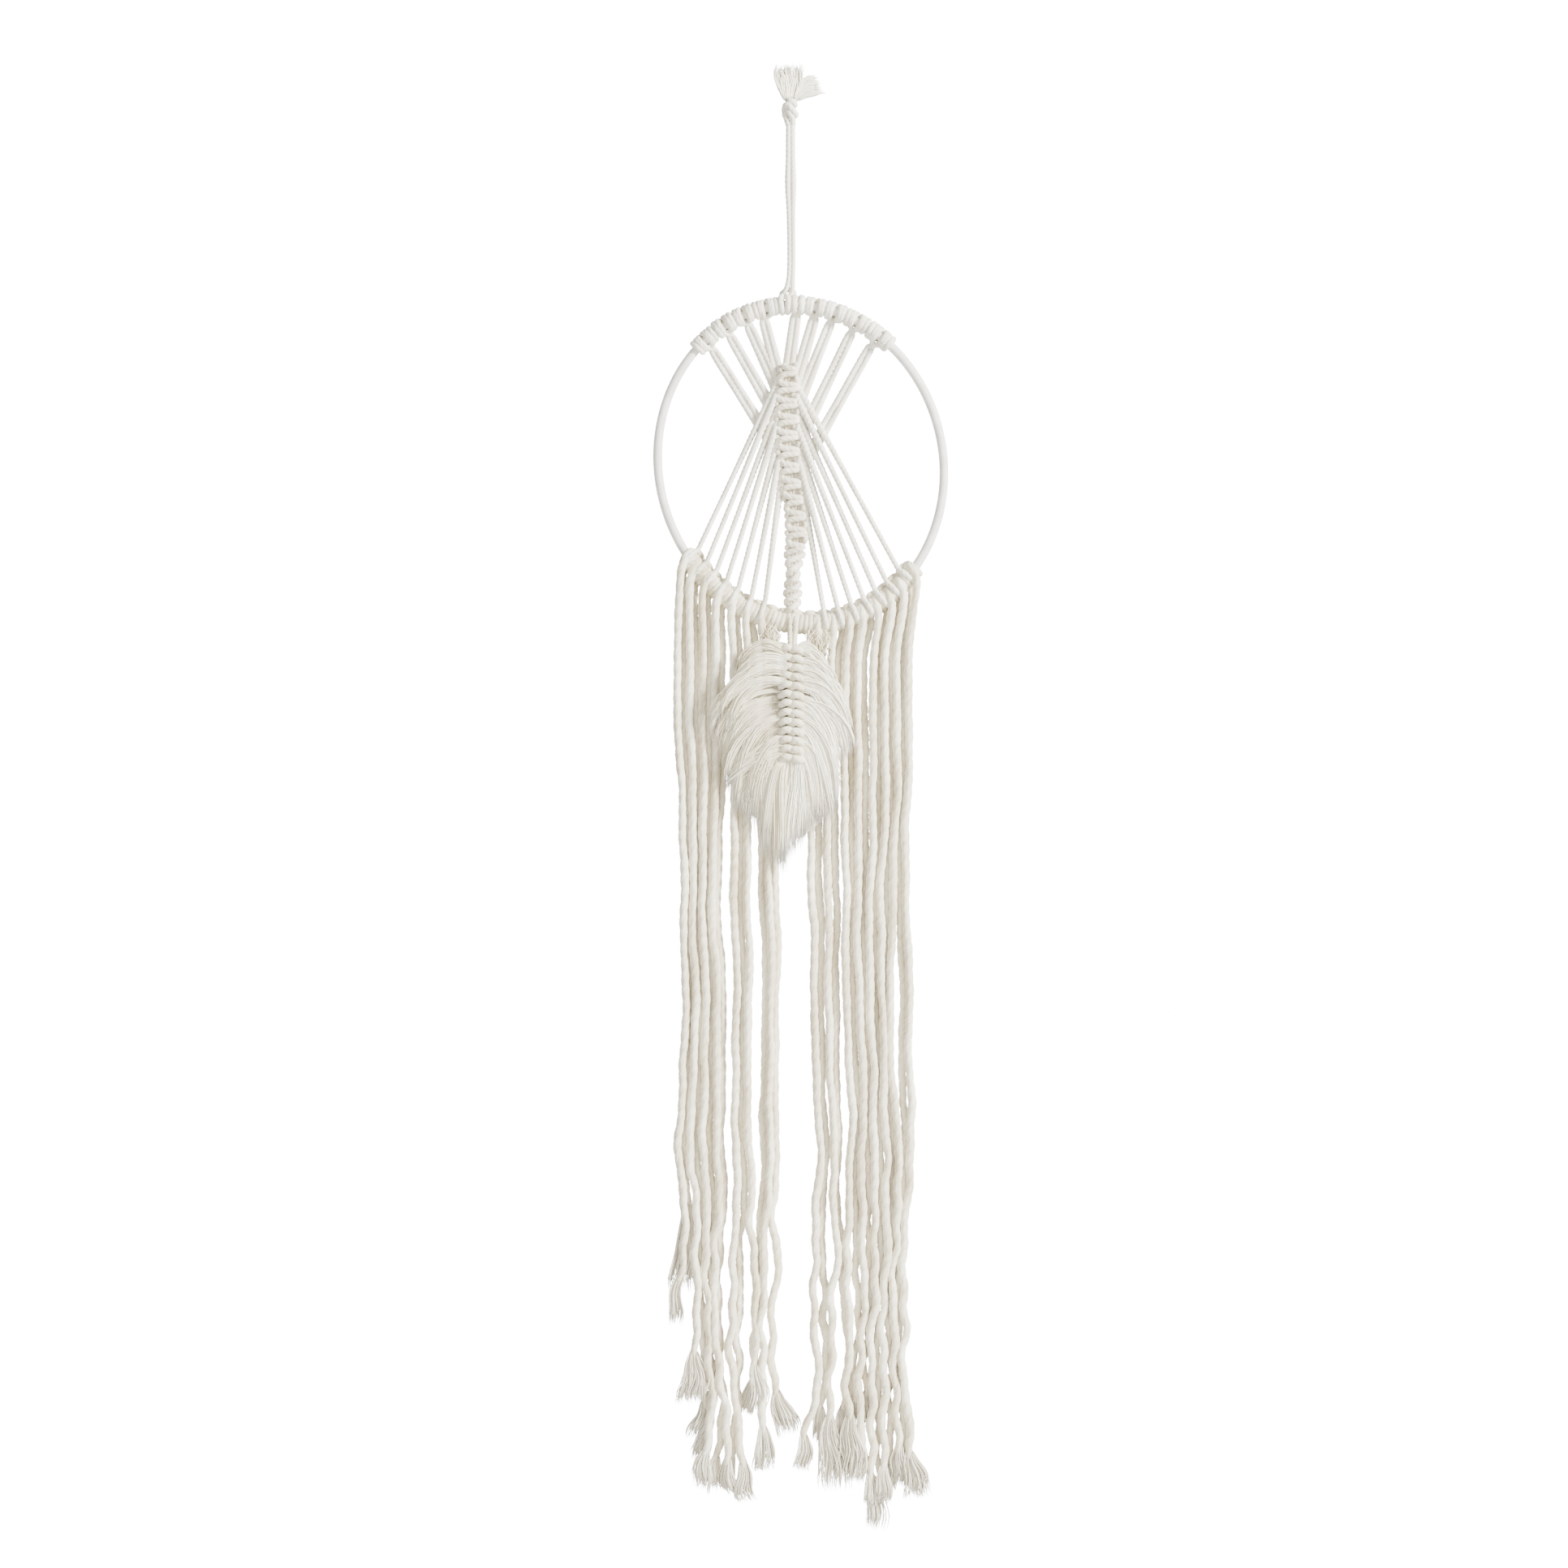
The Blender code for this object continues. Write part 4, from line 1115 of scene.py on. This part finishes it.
def lock_line(side, k, lock, locks, behind):
    """The middle line of one combed lock: it leaves the rib sideways and bends down."""
    edge, runs = leaf_edge(side)
    beside_rib = k < LEAF_ROWS
    spot = min((k + 0.5) / LEAF_ROWS, 1.0)
    part = lock / (locks - 1)
    if beside_rib:
        root_z = ROOTS_TOP - ROOTS_FALL * spot + rng.uniform(-2.0, 2.0)
        root_x = LEAF_MIDDLE + side * (-1.5 if behind else 2.5)
        place = runs[-1] * (0.04 + 0.92 * spot**0.85) + (part - 0.5) * 1.6 * runs[-1] / LEAF_ROWS
    else:
        root_z = LOW_ROOTS + rng.uniform(-7.0, 8.0)
        root_x = LEAF_MIDDLE + side * rng.uniform(-0.5, 3.0)
        place = runs[-1] * (0.60 + 0.40 * part)
    place = np.clip(place + rng.normal(0.0, 2.0), 0.0, runs[-1])
    # Every other lock ends inside the outline, and the rest make it ragged.
    reach = rng.uniform(0.78, 0.98) if lock % 2 else rng.uniform(0.94, 1.07)
    tip_x = root_x + (np.interp(place, runs, edge[:, 0]) - root_x) * reach
    tip_z = np.interp(place, runs, edge[:, 1]) + rng.uniform(-4.0, 3.0)
    root = np.array((root_x, 0.0, root_z))
    tip = np.array((tip_x, 0.0, tip_z))
    fall = max(root_z - tip_z, 4.0)
    out = abs(tip_x - root_x)
    rise = LEAF_RISE[side] * (1.0 - spot) ** 1.5 + 0.5
    first = root + np.array((side * (3.0 + 0.5 * out) * beside_rib, 0.0, rise))
    second = tip + np.array((side * rng.uniform(-1.5, 2.5), 0.0, 0.55 * fall + 2.0))
    share = ALONG_FIBRE
    line = curve(root, first, second, tip, share[:, None])
    line[:, 0] += np.sin(share * 7.0 + rng.uniform(0, 6.0)) * 1.0 * share
    # Upper rows lie over the lower ones.
    fullness = LEAF_FULLNESS[side]
    layer = 1.6 * (1.0 - spot) + rng.uniform(-0.4, 0.4) * fullness
    if side < 0:
        layer += LEAF_LIFTS[k]
    elif not beside_rib:
        layer -= 1.4
    crown = np.sin(math.pi * share) * (1.2 + fullness * rng.uniform(0.1, 1.0))
    # The leaf is fullest beside its rib and slopes back to its edges.
    line[:, 1] = LEAF_DEPTH - 2.4 - layer - crown + 5.2 * share**1.3
    line[:, 1] = np.minimum(line[:, 1], LEAF_DEPTH + 1.6)
    if behind:
        line[:, 1] = LEAF_DEPTH + 4.0 + 0.3 * (layer + crown)
    return line


def lock_fibres(middle, side, count):
    """The fibres of one lock, which spread from its middle line. A few strays curl away."""
    share = ALONG_FIBRE
    width = rng.uniform(1.3, 2.4)
    fan = width * (0.35 + 0.65 * np.sin(math.pi * np.clip(share * 0.8 + 0.1, 0, 1)))
    fan = fan * (1.0 + 0.7 * share)
    fibres = []
    for _ in range(count):
        aside = rng.normal(0.0, 0.55)
        back = rng.normal(0.0, 0.4)
        reach = rng.uniform(0.84, 1.0)
        line = at_spots(middle, np.linspace(0.0, (FIBRE_POINTS - 1) * reach, FIBRE_POINTS))
        run = np.gradient(line, axis=0)
        run /= np.linalg.norm(run, axis=1)[:, None] + 1e-9
        line[:, 0] += -run[:, 2] * fan * aside
        line[:, 2] += run[:, 0] * fan * aside
        line[:, 1] += fan * 0.6 * back
        if rng.random() < STRAYS:
            line[:, 0] += side * rng.uniform(-1.0, 3.5) * share**2
            line[:, 2] += rng.uniform(-4.0, 2.0) * share**2
        fibres.append(line)
    return fibres


def leaf_lines(side, locks, each, behind=False):
    """All the fibres on one side of the leaf, as locks in a row and fibres in each lock."""
    lines = []
    for k in range(LEAF_ROWS + LEAF_LOW_ROWS):
        for lock in range(locks):
            middle = lock_line(side, k, lock, locks, behind)
            lines += lock_fibres(middle, side, each)
    return np.asarray(lines)


def leaf_body():
    """The flat inside of the leaf, a little smaller than its outline."""
    z = np.linspace(*BODY_LEVELS, BODY_ROWS + 1)
    left, right = between_rows(LEAF_SECTIONS, z)
    left = left * BODY_SHARES[0]
    right = right * BODY_SHARES[1]
    around = circle(BODY_COLUMNS)
    middle = (left + right) / 2
    half = (right - left) / 2
    places = np.empty((BODY_ROWS + 1, BODY_COLUMNS + 1, 3))
    places[..., 0] = middle[:, None] + half[:, None] * np.cos(around)
    places[..., 1] = LEAF_DEPTH + 2.8 + 0.8 * np.sin(around)
    places[..., 2] = z[:, None]
    return rolled(places, BODY_LENGTH)


def top_fibres():
    """Loose fibres over the top of the leaf, on both sides of the stem."""
    share = ALONG_FIBRE
    lines = []
    for side, near, far in TOP_FIBRES:
        for _ in range(TOP_FIBRES_A_SIDE):
            out = rng.uniform(near, far)
            high = rng.uniform(0.5, 2.2)
            curl = high * np.sin(share * rng.uniform(3.0, 8.0) + rng.uniform(0.0, 6.0))
            x = side * (out + share * rng.uniform(-2.0, 4.5)) + curl
            y = -3.0 - 6.0 * share + 0.6 * curl + rng.uniform(-1.2, 1.2)
            z = -rng.uniform(306.0, 315.0) - share * rng.uniform(9.0, 19.0)
            lines.append(np.stack([x, y, z], axis=1))
    return np.asarray(lines)


def rib_knots():
    """The column of knots on the leaf's rib."""
    skins = []
    for k in range(RIB_KNOTS):
        for way in (-1, 1):
            # The right half of each knot sits a little lower.
            level = RIB_TOP - RIB_PITCH * k - (0.9 if way > 0 else 0.0)
            line = [(LEAF_MIDDLE + way * out, depth, level + up) for out, depth, up in RIB_KNOT]
            route = eased(line, 2.5)
            skins.append(twisted(route, RIB_CORD, start=k + way, groove=RIB_GROOVE))
    return skins


def stem_cords():
    """The two cords that carry the leaf."""
    skins = []
    for aside in STEM_SIDES:
        line = [(aside * share + x, depth, z) for share, x, depth, z in STEM_ROUTE]
        skins.append(twisted(eased(line, 5.0), STEM_CORD, start=aside))
    return skins


def make_leaf(cord_finish, fibre_finish, painted_lit_finish, painted_shade_body_finish):
    # Its body takes the darker cotton: painted shade in the hollows between the fibres.
    make_piece("leaf_body", [leaf_body()], painted_shade_body_finish, "leaf")
    # The two halves are lit and shaded copies of one cotton. The right half's lighter copy is
    # painted light from the right.
    halves = ((-1, "leaf_fibres_left", fibre_finish), (1, "leaf_fibres_right", painted_lit_finish))
    for side, name, finish in halves:
        front = leaf_lines(side, *LEAF_FRONT[:2])
        back = leaf_lines(side, *LEAF_BACK[:2], behind=True)
        skins = [hairs(front, LEAF_FRONT[2]), hairs(back, LEAF_BACK[2])]
        make_piece(name, skins, finish, "leaf")
    make_piece("leaf_top_fibres", [hairs(top_fibres(), TOP_FIBRE)], fibre_finish, "leaf")
    make_piece("leaf_rib_knots", rib_knots(), cord_finish, "leaf_rib")
    make_piece("leaf_stem", stem_cords(), cord_finish, "leaf_rib")


def main():
    set_camera()
    set_light()
    set_floor()
    cottons = [cotton_finish(*row) for row in COTTONS]
    cord_finish, fibre_finish, painted_lit_finish, painted_shade_finish, pale_finish, knot_finish = cottons
    make_hoop(paint_finish())
    make_hanger(pale_finish, painted_lit_finish)
    make_web(pale_finish)
    make_spine(knot_finish)
    make_fan(pale_finish)
    make_fringe(cord_finish, painted_shade_finish)
    make_leaf(cord_finish, fibre_finish, painted_lit_finish, painted_shade_finish)


main()
